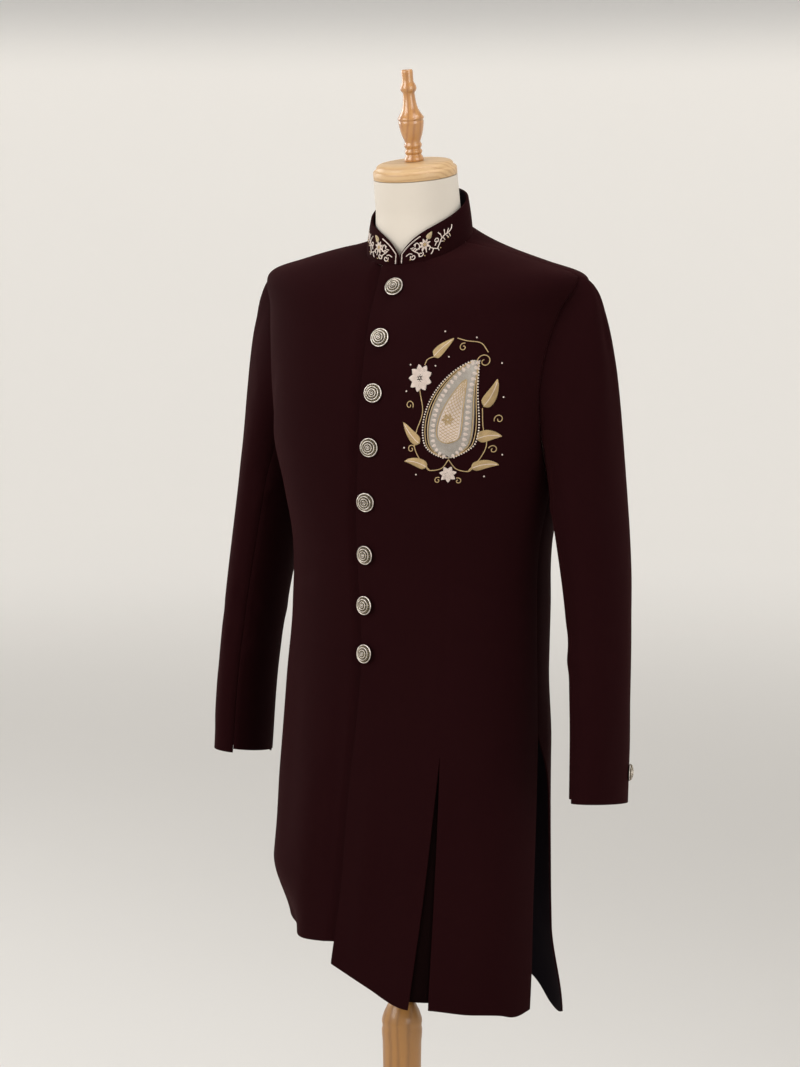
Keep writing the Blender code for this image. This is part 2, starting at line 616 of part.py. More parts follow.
def flower(name, surface, centre, radius, relief, finish_material, petals=8):
    """A round flower with a scalloped rim, made on any surface that takes u, v and a lift."""
    turn = spaced(0, 2 * math.pi, 2 * petals + 1)[:-1]
    rim = radius * (0.86 + 0.14 * np.cos(petals * turn))
    bm = bmesh.new()
    loops = []
    for share, height in ((1.0, 0.0), (1.0, 0.5), (0.45, 1.0)):
        u = centre[0] + share * rim * np.cos(turn)
        v = centre[1] + share * rim * np.sin(turn)
        loops.append([bm.verts.new(point) for point in surface(u, v, LIFT + relief * height + 0 * u)])
    count = len(turn)
    for below, above in zip(loops, loops[1:]):
        for i in range(count):
            j = (i + 1) % count
            bm.faces.new((below[i], below[j], above[j], above[i]))
    for loop, height in ((loops[0], 0.0), (loops[-1], 1.0)):
        middle = surface(np.array([centre[0]]), np.array([centre[1]]), np.array([LIFT + relief * height]))[0]
        hub = bm.verts.new(middle)
        for i in range(count):
            bm.faces.new((loop[i], loop[(i + 1) % count], hub))
    bmesh.ops.recalc_face_normals(bm, faces=bm.faces)
    return finish(name, bm, finish_material)


def chest_work():
    cream = material("cream_thread", CREAM_THREAD, 0.6)
    gold = material("gold_thread", GOLD_THREAD, 0.5)
    for number, (name, foot, middle, tip, half_width) in enumerate(CHEST_LEAVES[1]):
        leaf(name, foot, middle, tip, half_width, gold if number else cream)
    for name, u, v, radius in CHEST_FLOWERS[1]:
        flower(name, on_chest, (u, v), radius, CHEST_RELIEF, cream)


def on_collar(distance, height, lift):
    """Points over the collar's left half, placed by the distance from its end and height."""
    theta = theta_at(COLLAR_MEET_X, NECKLINE) + np.degrees(distance / curve(BODY, "front", NECKLINE))
    full = COLLAR_END_HEIGHT + COLLAR_RISE * (1 - np.exp(-distance / COLLAR_CORNER))
    share = height / full
    return collar_surface(theta, share) + np.asarray(lift)[..., None] * collar_normal(theta, share)


def collar_work():
    gold = material("gold_thread", GOLD_THREAD, 0.5)
    cream = material("cream_thread", CREAM_THREAD, 0.6)
    d = np.concatenate((np.full(3, COLLAR_BORDER_INSET), spaced(COLLAR_BORDER_INSET, 0.026, 9)))
    full = COLLAR_END_HEIGHT + COLLAR_RISE * (1 - np.exp(-d / COLLAR_CORNER))
    h = full - COLLAR_BORDER_INSET
    h[:3] = np.array((0.10, 0.40, 0.75)) * h[3]
    path = np.stack((d, h), axis=-1)
    along = unit(np.gradient(path, axis=0))
    side = np.stack((-along[:, 1], along[:, 0]), axis=-1)
    share = spaced(1, -1, 3)
    u = path[:, :1] + share * COLLAR_BORDER_HALF_WIDTH * side[:, :1]
    v = path[:, 1:] + share * COLLAR_BORDER_HALF_WIDTH * side[:, 1:]

    def on_right(distance, height, lift):
        """The same place on the collar's right half, which starts where the ends meet."""
        theta = theta_at(COLLAR_MEET_X, NECKLINE) - np.degrees(distance / curve(BODY, "front", NECKLINE)) + 360
        full_height = COLLAR_END_HEIGHT + COLLAR_RISE * (1 - np.exp(-distance / COLLAR_CORNER))
        part = height / full_height
        return collar_surface(theta, part) + np.asarray(lift)[..., None] * collar_normal(theta, part)

    for half, surface in (("left", on_collar), ("right", on_right)):
        top = surface(u, v, LIFT + COLLAR_RELIEF + 0 * u)
        raised_sheet(f"collar_border_{half}", top, surface(u, v, LIFT + 0 * u), gold)
        flower(f"collar_flower_{half}", surface, COLLAR_FLOWER[:2], COLLAR_FLOWER[2], COLLAR_RELIEF, cream)


def form_inset(theta, level):
    """How far the form lies inside the body surface: close under the shoulders, where the
    coat rests, and freer below and behind the lapped fronts."""
    shoulder = ease((level - 1.30) / 0.08)
    waist = 0.012 - (0.012 - CLOTH - SHOULDER_EASE) * shoulder
    tip = ease((np.abs(np.sin(np.radians(theta))) - 0.86) / 0.1) * ease(1.6 - np.abs(level - SHOULDER_TIP) / 0.02)
    waist = waist + TIP_EASE * tip
    lapped = 2 * (CLOTH + LAP_EASE) + 3 * SEAM
    front = ease((np.cos(np.radians(theta)) - 0.70) / 0.12)
    return np.maximum(waist, lapped * front)


def lofted(name, rings, finish_material):
    """A closed solid through a stack of rings, lowest first."""
    bm = bmesh.new()
    loops = [[bm.verts.new(point) for point in ring] for ring in rings]
    count = len(loops[0])
    for below, above in zip(loops, loops[1:]):
        for i in range(count):
            j = (i + 1) % count
            bm.faces.new((below[i], below[j], above[j], above[i]))
    bm.faces.new(loops[0][::-1])
    bm.faces.new(loops[-1])
    bmesh.ops.recalc_face_normals(bm, faces=bm.faces)
    return finish(name, bm, finish_material, 50.0)


def neck_frame():
    """The neck's axis: a point at its top and its leaning direction."""
    axis = np.array((0.0, -math.sin(NECK_LEAN), math.cos(NECK_LEAN)))
    foot = np.array((0.0, NECK_FOOT_Y, 1.470))
    top = foot + axis * (NECK_TOP - foot[2]) / axis[2]
    return top, axis


def form_body():
    quarter = np.array((0.0, 15.0, 30.0, 44.0, 56.0, 67.0, 76.0, 83.5))
    theta = np.concatenate([side + turn for side, turn in
                            ((0, quarter), (180, -quarter[:0:-1]), (180, quarter), (360, -quarter[:0:-1]))])
    theta = np.sort(np.append(theta, (90.0, 270.0)))
    levels = np.concatenate((spaced(FORM_BOTTOM, 1.19, 7), spaced(1.19, SHOULDER_TIP, 7)[1:],
                             spaced(SHOULDER_TIP, NECKLINE, 6)[1:-1]))
    rings = []
    for level in levels:
        at = level + 0 * theta
        rings.append(body_surface(theta, at) - form_inset(theta, at)[:, None] * body_normal(theta, at))
    rings[0][:, 2] = FORM_BOTTOM
    radial = np.stack((np.sin(np.radians(theta)), -np.cos(np.radians(theta)), 0 * theta), axis=-1)
    rings.append(body_surface(theta, NECKLINE) - NECK_CLEAR * radial - np.array((0, 0, NECK_SINK)))
    top, axis = neck_frame()
    ring_x = np.stack((np.sin(np.radians(theta)), -np.cos(np.radians(theta)) * math.cos(NECK_LEAN),
                       -np.cos(np.radians(theta)) * math.sin(NECK_LEAN)), axis=-1)
    for below_top, radius in ((0.040, 0.0532), (0.020, 0.0528), (0.0, NECK_RADIUS)):
        rings.append(top - axis * below_top + radius * ring_x)
    lofted("form_body", rings, material("form_jersey", FORM_CREAM, 0.9))


def cap_and_finial():
    top, axis = neck_frame()
    foot = top + SEAM * axis
    turned("neck_cap", CAP_PROFILE, foot, material("pale_pine", PALE_PINE, 0.55), 22, axis)
    seat = foot + (CAP_PROFILE[1][-1][1] + SEAM) * axis
    turned("finial", FINIAL_PROFILE, seat, material("orange_wood", ORANGE_WOOD, 0.35), 12, axis)


def stand():
    wood = material("golden_wood", GOLDEN_WOOD, 0.45)
    turned("stand_base", BASE_PROFILE, (0, 0, 0), wood, 32)
    turned("stand_pole", POLE_PROFILE, (0, 0, 0), wood, 16)
    rod = (("radius", "height"), ((ROD_RADIUS, POLE_TOP + SEAM), (ROD_RADIUS, FORM_BOTTOM - SEAM)))
    turned("stand_rod", rod, (0, 0, 0), material("rod_steel", (0.45, 0.45, 0.46), 0.35, 1.0), 16)


def main():
    clear_scene()
    front_left()
    front_right()
    pleat_underlay()
    backs()
    sleeves()
    collar()
    buttons()
    chest_work()
    collar_work()
    form_body()
    cap_and_finial()
    stand()


main()
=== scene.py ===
"""The finish of a knee-length sherwani coat on its dress form: cloth, thread work, buttons and turned wood.

Metres, +Z up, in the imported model's frame. The coat faces -Y, the wearer's left is +X, and the
origin is on the floor under the pole. Every cloth shell lies on the same body, sleeve and collar
surfaces as the solid that it stands for, with a finer grid, soft folds and folded edges.
"""
import math

import bmesh
import bpy
import numpy as np
from mathutils import Matrix, Vector


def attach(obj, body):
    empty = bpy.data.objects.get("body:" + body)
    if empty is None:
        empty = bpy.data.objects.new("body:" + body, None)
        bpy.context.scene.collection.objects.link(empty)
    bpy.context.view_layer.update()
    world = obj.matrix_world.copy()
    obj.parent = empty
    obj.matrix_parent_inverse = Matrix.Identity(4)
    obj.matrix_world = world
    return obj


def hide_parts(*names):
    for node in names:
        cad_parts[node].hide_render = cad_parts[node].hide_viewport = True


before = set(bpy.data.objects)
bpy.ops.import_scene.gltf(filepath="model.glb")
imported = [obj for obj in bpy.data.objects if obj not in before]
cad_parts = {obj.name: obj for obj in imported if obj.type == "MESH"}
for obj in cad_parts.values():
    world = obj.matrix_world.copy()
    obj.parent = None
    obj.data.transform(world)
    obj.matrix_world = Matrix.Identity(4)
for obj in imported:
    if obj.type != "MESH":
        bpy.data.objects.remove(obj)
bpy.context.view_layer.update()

# The camera: where it stands, how far it looks down, and its lens for a 36 mm long side
CAMERA_AZIMUTH = math.radians(32.0)
CAMERA_DISTANCE = 3.10
CAMERA_HEIGHT = 1.55
CAMERA_PITCH = math.radians(8.3)
CAMERA_LENS = 83.67
CAMERA_SHIFT = -0.0019

# Thicknesses and clearances
CLOTH = 0.0022
COLLAR_CLOTH = 0.0030
SEAM = 0.0003
SHOWN_SEAM = 0.00004
LIFT = 0.0005
SHOULDER_EASE = 0.0014
TIP_EASE = 0.0030
LAP_EASE = 0.0012

# Heights on the coat
SLIT_TOP = 0.850
PLEAT_TOP = 0.837
UNDERARM = 1.162
BODY_CENTRE_Y = 0.050
SHOULDER_TIP = 1.380
NECKLINE = 1.436

# The body surface. Each row is one closed section. Its height may differ at front, side and
# back, its plan is a rounded oval about centre_y, square tells how full its corners are, and
# tilt how its height runs round: 1 is a flat tilted ring, 2 dips more towards the front.
BODY = (
    ("level", "z_front", "z_side", "z_back", "half_width", "front", "back", "centre_y", "square", "tilt"), (
        (0.465, 0.465, 0.465, 0.465, 0.192, 0.141, 0.152, 0.005, 2.2, 2.0),
        (0.560, 0.560, 0.560, 0.560, 0.190, 0.137, 0.150, 0.008, 2.2, 2.0),
        (0.645, 0.645, 0.645, 0.645, 0.186, 0.131, 0.147, 0.011, 2.2, 2.0),
        (0.750, 0.750, 0.750, 0.750, 0.180, 0.130, 0.144, 0.020, 2.2, 2.0),
        (0.900, 0.900, 0.900, 0.900, 0.174, 0.129, 0.140, 0.034, 2.2, 2.0),
        (1.000, 1.000, 1.000, 1.000, 0.172, 0.1275, 0.136, 0.043, 2.2, 2.0),
        (1.090, 1.090, 1.090, 1.090, 0.174, 0.128, 0.130, 0.046, 2.2, 2.0),
        (1.150, 1.150, 1.150, 1.150, 0.185, 0.133, 0.126, 0.048, 2.3, 2.0),
        (1.216, 1.216, 1.216, 1.216, 0.198, 0.138, 0.123, 0.050, 2.4, 2.0),
        (1.282, 1.282, 1.297, 1.290, 0.203, 0.134, 0.120, 0.051, 2.5, 2.0),
        (1.348, 1.348, 1.382, 1.365, 0.211, 0.122, 0.112, 0.054, 2.5, 2.0),
        (1.380, 1.380, 1.424, 1.412, 0.218, 0.1125, 0.096, 0.057, 2.4, 2.0),
        (1.404, 1.404, 1.4405, 1.443, 0.170, 0.095, 0.084, 0.053, 2.3, 1.9),
        (1.423, 1.423, 1.455, 1.471, 0.115, 0.0805, 0.075, 0.049, 2.1, 1.5),
        (1.436, 1.436, 1.4645, 1.490, 0.067, 0.0665, 0.066, 0.042, 2.0, 1.0),
    ))

# The left front's lap edge, and the two sides of its pleat, as distances from the centre line
LAP_EDGE = (("level", "x"), (
    (0.568, -0.0265), (0.645, -0.0190), (0.785, -0.0120), (0.955, -0.0040), (1.055, -0.0130),
    (1.115, -0.0150), (1.190, -0.0100), (1.330, -0.0085), (1.436, -0.0140)))
PLEAT = (("level", "x_front", "x_back"), (
    (0.500, 0.0820, 0.1075), (0.580, 0.0890, 0.1080), (0.680, 0.0965, 0.1075),
    (0.770, 0.1015, 0.1065), (0.837, 0.1050, 0.1050)))
DART = (("level", "x"), (
    (0.837, 0.1050), (1.000, 0.1040), (1.150, 0.1060), (1.282, 0.1080), (1.380, 0.0900), (1.436, 0.0400)))
UNDERLAP_X = 0.035
LAP_STEP_START = 0.0160
LAP_STEP_END = 0.0030

# The hems, as heights across each panel
LEFT_HEM = (("x", "z"), (
    (-0.027, 0.565), (0.030, 0.5435), (0.083, 0.5225), (0.108, 0.5232), (0.146, 0.5182),
    (0.177, 0.5127), (0.189, 0.5070), (0.1935, 0.5120)))
RIGHT_HEM = (("x", "z"), ((-0.190, 0.603), (-0.130, 0.589), (0.000, 0.595), (0.040, 0.597)))
BACK_HEM = (("x", "z"), (
    (-0.190, 0.552), (0.000, 0.530), (0.090, 0.5165), (0.128, 0.4965), (0.150, 0.4765),
    (0.170, 0.4725), (0.186, 0.4820)))

# Where the side slits' edges run, as angles from the front, and how far their corners swing
SLIT = (("level", "front_edge", "back_edge"), (
    (0.470, 86.5, 112.0), (0.600, 90.0, 111.0), (0.700, 92.6, 108.0), (0.790, 93.8, 103.0), (0.850, 94.0, 94.0)))
SEAM_DRIFT = 4.0
CORNER_FLARE = 0.014
SLIT_STAND = 0.005
CORNER_CURL = 0.031

# Armholes, as angles taken out of the front and the back at mid height
ARMHOLE_FRONT = 14.0
ARMHOLE_BACK = 13.0
ARMHOLE_ROUND = 0.75
ARM_ROWS = 12

# The left sleeve below its head. Each row is one section, and the right sleeve mirrors it.
SLEEVE = (("level", "centre_x", "centre_y", "half_x", "half_y"), (
    (0.755, 0.2697, 0.0257, 0.0302, 0.0529),
    (0.780, 0.2690, 0.0275, 0.0305, 0.0530),
    (0.900, 0.2650, 0.0370, 0.0325, 0.0535),
    (1.000, 0.2565, 0.0480, 0.0355, 0.0560),
    (1.135, 0.2360, 0.0600, 0.0410, 0.0650),
    (1.200, 0.2250, 0.0620, 0.0430, 0.0680)))
BICEP = 1.135
CUFF_TOP_PIECE = 0.7885
CUFF_UNDER_PIECE = 0.7935
CUFF_DROP = 0.0180
CUFF_FRONT = 105.0
FORE_SEAM = 60.0
ELBOW_SEAM = 300.0
SLEEVE_SEAM_CLEAR = 0.04

# Collar
COLLAR_END_HEIGHT = 0.0100
COLLAR_RISE = 0.0310
COLLAR_CORNER = 0.0190
COLLAR_MEET_X = 0.0100
COLLAR_SEAT = 0.0009
COLLAR_TAPER = 0.14
NECK_LEAN = math.radians(9.0)

# Front buttons, top to bottom: height, distance from the centre line, and how many degrees
# each has swung on its shank towards the wearer's left
BUTTONS = (("z", "x", "turn"), (
    (1.408, 0.0148, 9.0), (1.348, 0.0122, 9.0), (1.282, 0.0117, 9.0), (1.216, 0.0090, 9.0),
    (1.1475, 0.0014, 7.0), (1.081, -0.0013, -6.0), (1.018, -0.0011, -8.0), (0.958, 0.0020, -9.0)))
BUTTON_RADIUS = 0.0120
BUTTON_HEIGHT = 0.0062
SWUNG_LIFT = 0.9
CUFF_BUTTON_RADIUS = 0.0112
CUFF_BUTTON_Z = 0.8148

# Dress form and stand
FORM_BOTTOM = 0.856
NECK_TOP = 1.5440
NECK_RADIUS = 0.0525
NECK_FOOT_Y = 0.0435
NECK_CLEAR = 0.0112
NECK_SINK = 0.0040
ROD_RADIUS = 0.0100
POLE_TOP = 0.4850

CAP_PROFILE = (("radius", "height"), (
    (0.0515, 0.0000), (0.0525, 0.0012), (0.0525, 0.0085), (0.0512, 0.0105), (0.0488, 0.0116),
    (0.0480, 0.0140), (0.0462, 0.0165), (0.0430, 0.0180), (0.0300, 0.0190)))
FINIAL_PROFILE = (("radius", "height"), (
    (0.0121, 0.0000), (0.0118, 0.0040), (0.0095, 0.0080), (0.0110, 0.0120), (0.0100, 0.0170),
    (0.0111, 0.0222), (0.0100, 0.0236), (0.0127, 0.0321), (0.0150, 0.0422), (0.0159, 0.0492),
    (0.0162, 0.0532), (0.0144, 0.0573), (0.0102, 0.0643), (0.0083, 0.0723), (0.0072, 0.0834),
    (0.0100, 0.0904), (0.0080, 0.0964), (0.0069, 0.0990), (0.0070, 0.1110), (0.0055, 0.1129)))
POLE_PROFILE = (("radius", "height"), (
    (0.0200, 0.0263), (0.0330, 0.0270), (0.0345, 0.0330), (0.0300, 0.0400), (0.0235, 0.0460),
    (0.0225, 0.0700), (0.0240, 0.2500), (0.0248, 0.4000), (0.0262, 0.4450), (0.0258, 0.4580),
    (0.0225, 0.4700), (0.0180, 0.4800), (0.0150, 0.4850)))
BASE_PROFILE = (("radius", "height"), (
    (0.2070, 0.0000), (0.2100, 0.0030), (0.2100, 0.0150), (0.2070, 0.0200), (0.1980, 0.0225), (0.0600, 0.0260)))
BUTTON_PROFILE = (("radius", "height"), (
    (0.92, 0.00), (1.00, 0.16), (0.97, 0.42), (0.78, 0.74), (0.42, 0.95)))

# Raised work. Chest leaves lie on the left front, in metres from CHEST_CENTRE: a spine from
# foot to tip by way of a middle point, and the half width. Collar work is placed by its
# distance from the collar's end and its height over the neckline.
CHEST_CENTRE = (0.112, 1.258)
CHEST_RELIEF = 0.0016
CHEST_LEAVES = (("name", "foot", "middle", "tip", "half_width"), (
    ("chest_paisley", (0.000, -0.050), (-0.006, 0.012), (0.030, 0.052), 0.0260),
    ("chest_leaf_1", (-0.026, -0.062), (-0.040, -0.054), (-0.056, -0.056), 0.0055),
    ("chest_leaf_2", (-0.036, -0.034), (-0.048, -0.026), (-0.058, -0.010), 0.0060),
    ("chest_leaf_3", (0.030, -0.028), (0.042, -0.022), (0.055, -0.026), 0.0060),
    ("chest_leaf_4", (0.026, -0.062), (0.040, -0.054), (0.054, -0.058), 0.0055),
    ("chest_leaf_5", (0.036, 0.006), (0.046, 0.016), (0.050, 0.032), 0.0060),
    ("chest_leaf_6", (-0.018, 0.062), (-0.010, 0.070), (0.006, 0.078), 0.0055)))
LEAF_FOOT = 0.14
CHEST_FLOWERS = (("name", "u", "v", "radius"), (
    ("chest_flower_1", -0.036, 0.040, 0.0150),
    ("chest_flower_2", 0.000, -0.070, 0.0095)))
COLLAR_RELIEF = 0.0009
COLLAR_BORDER_INSET = 0.0040
COLLAR_BORDER_HALF_WIDTH = 0.0011
COLLAR_FLOWER = (0.0330, 0.0185, 0.0062)

# Rows and columns of the fine cloth
SKIRT_ROWS = 66
WAIST_ROWS = 66
ARMHOLE_ROWS = 58
SHOULDER_ROWS = 34
SLEEVE_HEAD_ROWS = 40
SLEEVE_ROWS = 76
EDGE_ROUND = 0.0006
SEAM_DIP = 0.0007
SEAM_DIP_WIDTH = 0.0035
SEAM_TUCK = 0.0011

# Soft folds on the body, from one place to another: ridges are above zero and troughs below
BODY_FOLDS = (("theta_a", "level_a", "theta_b", "level_b", "width", "height"), (
    (12.0, 0.850, 4.0, 0.540, 0.020, 0.0022),
    (24.0, 0.800, 20.0, 0.520, 0.024, -0.0018),
    (66.0, 0.900, 70.0, 0.520, 0.026, 0.0022),
    (52.0, 0.820, 54.0, 0.500, 0.020, -0.0020),
    (-14.0, 0.930, -12.0, 0.590, 0.016, -0.0026),
    (-30.0, 0.860, -33.0, 0.585, 0.024, 0.0026),
    (-48.0, 0.960, -52.0, 0.640, 0.022, -0.0020),
    (-66.0, 0.990, -70.0, 0.700, 0.022, 0.0018),
    (38.0, 1.060, 72.0, 1.020, 0.013, -0.0013),
    (48.0, 0.990, 80.0, 0.960, 0.012, -0.0011),
    (-34.0, 1.050, -70.0, 1.030, 0.013, -0.0014),
    (58.0, 1.300, 72.0, 1.200, 0.011, -0.0016),
    (64.0, 1.250, 78.0, 1.140, 0.010, 0.0012),
    (-58.0, 1.310, -72.0, 1.205, 0.011, -0.0016),
    (-62.0, 1.250, -80.0, 1.120, 0.011, 0.0013),
    (104.0, 1.260, 96.0, 1.120, 0.010, -0.0015),
    (-104.0, 1.265, -97.0, 1.130, 0.010, -0.0015),
    (128.0, 1.290, 112.0, 1.190, 0.013, -0.0017),
    (-130.0, 1.280, -114.0, 1.200, 0.012, -0.0015),
    (150.0, 1.075, 108.0, 1.040, 0.012, -0.0015),
    (164.0, 1.020, 122.0, 0.995, 0.014, -0.0017),
    (-152.0, 1.065, -112.0, 1.045, 0.013, -0.0016),
    (-166.0, 1.005, -124.0, 0.985, 0.012, -0.0013),
    (150.0, 0.940, 148.0, 0.540, 0.026, 0.0028),
    (168.0, 0.900, 170.0, 0.560, 0.020, -0.0022),
    (-150.0, 0.930, -146.0, 0.560, 0.028, 0.0026),
    (-132.0, 0.880, -128.0, 0.575, 0.020, -0.0020),
    (128.0, 0.860, 130.0, 0.520, 0.020, -0.0022)))

# Soft folds on a sleeve: turn is 0 at the underarm and 90 ahead, down is the way from the shoulder
SLEEVE_FOLDS = (("turn_a", "down_a", "turn_b", "down_b", "width", "height"), (
    (150.0, 0.052, 184.0, 0.088, 0.011, -0.0015),
    (196.0, 0.036, 224.0, 0.100, 0.013, -0.0012),
    (118.0, 0.068, 130.0, 0.172, 0.012, -0.0012),
    (52.0, 0.120, 100.0, 0.192, 0.010, -0.0014),
    (30.0, 0.140, 74.0, 0.234, 0.010, 0.0014),
    (318.0, 0.140, 276.0, 0.214, 0.011, -0.0015),
    (96.0, 0.324, 28.0, 0.359, 0.011, -0.0021),
    (84.0, 0.362, 20.0, 0.386, 0.010, 0.0013),
    (104.0, 0.390, 36.0, 0.410, 0.012, -0.0018),
    (126.0, 0.348, 168.0, 0.379, 0.013, -0.0009),
    (262.0, 0.338, 318.0, 0.372, 0.013, 0.0015),
    (250.0, 0.400, 322.0, 0.386, 0.011, -0.0011),
    (150.0, 0.428, 128.0, 0.524, 0.016, 0.0010),
    (214.0, 0.269, 220.0, 0.483, 0.020, -0.0012)))
SLEEVE_HEAD_LENGTH = 0.200
SLEEVE_LENGTH = 0.345
SLEEVE_REACH = 0.052

# Colours of the finish
WINE_DARK = (0.0092, 0.0022, 0.0027)
WINE_LIGHT = (0.0146, 0.0037, 0.0042)
# Painted shade: the pleat underlay's darker wine stands in for the shadow deep inside the pleat
PAINTED_SHADE_DARK = (0.0028, 0.0012, 0.0012)
PAINTED_SHADE_LIGHT = (0.0048, 0.0020, 0.0020)
INSIDE_DARK = (0.0040, 0.0036, 0.0052)
INSIDE_LIGHT = (0.0075, 0.0066, 0.0090)
SHEEN_WINE = (0.30, 0.075, 0.075)

# Collar work on the left end, as distances from the end and heights over the neckline
COLLAR_CURLS = (
    ((0.0185, 0.0062), 0.0036, 0.0012, 150.0, 400.0), ((0.0280, 0.0078), 0.0034, 0.0012, 60.0, -390.0),
    ((0.0205, 0.0150), 0.0022, 0.0009, 250.0, 330.0), ((0.0480, 0.0192), 0.0030, 0.0014, -60.0, 380.0))
COLLAR_STEMS = (
    ((0.0095, 0.0085), (0.0140, 0.0110), (0.0175, 0.0100)),
    ((0.0165, 0.0158), (0.0205, 0.0125), (0.0245, 0.0100), (0.0262, 0.0050)),
    ((0.0190, 0.0205), (0.0232, 0.0225), (0.0262, 0.0190), (0.0258, 0.0140)),
    ((0.0400, 0.0130), (0.0440, 0.0108), (0.0495, 0.0085), (0.0510, 0.0060)),
    ((0.0490, 0.0090), (0.0520, 0.0140), (0.0545, 0.0185),
     (0.0590, 0.0215), (0.0650, 0.0228), (0.0700, 0.0258), (0.0712, 0.0300)),
    ((0.0440, 0.0108), (0.0425, 0.0070), (0.0405, 0.0050)))
COLLAR_SPRIGS = (("distance", "height", "turn", "length"), (
    (0.0150, 0.0170, 10.0, 0.0040), (0.0205, 0.0180, 80.0, 0.0036), (0.0225, 0.0140, 30.0, 0.0032),
    (0.0300, 0.0115, 60.0, 0.0036), (0.0352, 0.0085, 100.0, 0.0050), (0.0385, 0.0105, 70.0, 0.0045),
    (0.0460, 0.0135, 60.0, 0.0042), (0.0530, 0.0165, -20.0, 0.0040), (0.0555, 0.0200, 110.0, 0.0060),
    (0.0535, 0.0245, 130.0, 0.0048), (0.0600, 0.0215, 95.0, 0.0072), (0.0630, 0.0225, 60.0, 0.0058),
    (0.0620, 0.0205, -50.0, 0.0050), (0.0660, 0.0215, -70.0, 0.0046), (0.0575, 0.0195, -60.0, 0.0042)))
COLLAR_BERRIES = (
    (0.0530, 0.0085), (0.0580, 0.0148), (0.0642, 0.0168), (0.0670, 0.0190), (0.0150, 0.0035), (0.0330, 0.0050))
COLLAR_BUD = ((0.0368, 0.0248), (0.0392, 0.0282), (0.0424, 0.0312), 0.0028)

# A button's rings of wire, as shares of its radius, and the dashes between them
BUTTON_RINGS = (("ring", "lift", "wire"), (
    (0.915, 0.32, 0.066), (0.650, 0.73, 0.050), (0.400, 0.89, 0.043), (0.185, 0.98, 0.037)))
BUTTON_DASHES = (("ring", "lift", "count", "length", "width"), (
    (0.770, 0.60, 22, 0.085, 0.046), (0.510, 0.86, 12, 0.095, 0.042), (0.280, 0.97, 7, 0.062, 0.050)))

# Colours of thread, metal, jersey and wood
CREAM = (0.78, 0.67, 0.60)
CREAM_SHADE = (0.52, 0.42, 0.36)
SILVER_GREY = (0.27, 0.235, 0.20)
SILVER_PALE = (0.50, 0.46, 0.41)
GOLD_LIGHT = (0.60, 0.43, 0.22)
GOLD_SHADE = (0.30, 0.21, 0.095)
WIRE_SILVER = (0.80, 0.73, 0.66)
WIRE_SHADE = (0.40, 0.35, 0.30)
OLIVE_GOLD = (0.36, 0.29, 0.15)
BUTTON_GROUND = (0.038, 0.029, 0.021)
JERSEY = (0.63, 0.575, 0.50)
JERSEY_SHADE = (0.565, 0.505, 0.43)
PINE = (0.57, 0.38, 0.195)
PINE_LINE = (0.40, 0.23, 0.095)
VARNISHED = (0.47, 0.225, 0.065)
VARNISHED_DARK = (0.31, 0.125, 0.036)
GOLDEN = (0.36, 0.165, 0.036)
GOLDEN_DARK = (0.22, 0.095, 0.022)
STEEL = (0.50, 0.50, 0.51)
PALE_FLOOR = (0.68, 0.66, 0.63)

# Finer profiles of the turned wood
CAP_TURNING = (("radius", "height"), (
    (0.0508, 0.0000), (0.0522, 0.0006), (0.0525, 0.0016), (0.0525, 0.0082), (0.0521, 0.0096), (0.0511, 0.0106),
    (0.0496, 0.0112), (0.0487, 0.0118), (0.0484, 0.0128), (0.0481, 0.0142), (0.0473, 0.0156), (0.0459, 0.0168),
    (0.0440, 0.0176), (0.0410, 0.0182), (0.0360, 0.0187), (0.0300, 0.0190)))
FINIAL_TURNING = (("radius", "height"), (
    (0.0116, 0.0000), (0.0121, 0.0006), (0.0121, 0.0030), (0.0114, 0.0052), (0.0100, 0.0074), (0.0095, 0.0084),
    (0.0098, 0.0092), (0.0107, 0.0104), (0.0111, 0.0118), (0.0107, 0.0132), (0.0097, 0.0146), (0.0095, 0.0154),
    (0.0099, 0.0166), (0.0108, 0.0180), (0.0112, 0.0194), (0.0110, 0.0210), (0.0099, 0.0228), (0.0097, 0.0240),
    (0.0110, 0.0278), (0.0127, 0.0321), (0.0141, 0.0372), (0.0151, 0.0422), (0.0157, 0.0470), (0.0158, 0.0496),
    (0.0153, 0.0504), (0.0154, 0.0512), (0.0162, 0.0520), (0.0164, 0.0532), (0.0161, 0.0545), (0.0151, 0.0556),
    (0.0139, 0.0575), (0.0121, 0.0605), (0.0102, 0.0643), (0.0090, 0.0685), (0.0083, 0.0725), (0.0077, 0.0780),
    (0.0073, 0.0834), (0.0076, 0.0848), (0.0090, 0.0862), (0.0099, 0.0880), (0.0102, 0.0900), (0.0098, 0.0925),
    (0.0086, 0.0950), (0.0075, 0.0970), (0.0071, 0.0984), (0.0071, 0.1040), (0.0073, 0.1096), (0.0071, 0.1116),
    (0.0061, 0.1127), (0.0048, 0.1129)))
POLE_TURNING = (("radius", "height"), (
    (0.0200, 0.0263), (0.0320, 0.0264), (0.0334, 0.0272), (0.0343, 0.0300), (0.0340, 0.0340), (0.0318, 0.0380),
    (0.0292, 0.0405), (0.0262, 0.0425), (0.0240, 0.0450), (0.0232, 0.0480), (0.0232, 0.0510), (0.0240, 0.0530),
    (0.0244, 0.0550), (0.0240, 0.0575), (0.0229, 0.0595), (0.0225, 0.0640), (0.0226, 0.0900), (0.0233, 0.1700),
    (0.0240, 0.2500), (0.0245, 0.3400), (0.0248, 0.4000), (0.0253, 0.4300), (0.0262, 0.4420), (0.0263, 0.4470),
    (0.0256, 0.4510), (0.0257, 0.4550), (0.0262, 0.4580), (0.0258, 0.4620), (0.0240, 0.4680), (0.0220, 0.4730),
    (0.0196, 0.4780), (0.0170, 0.4825), (0.0150, 0.4848)))
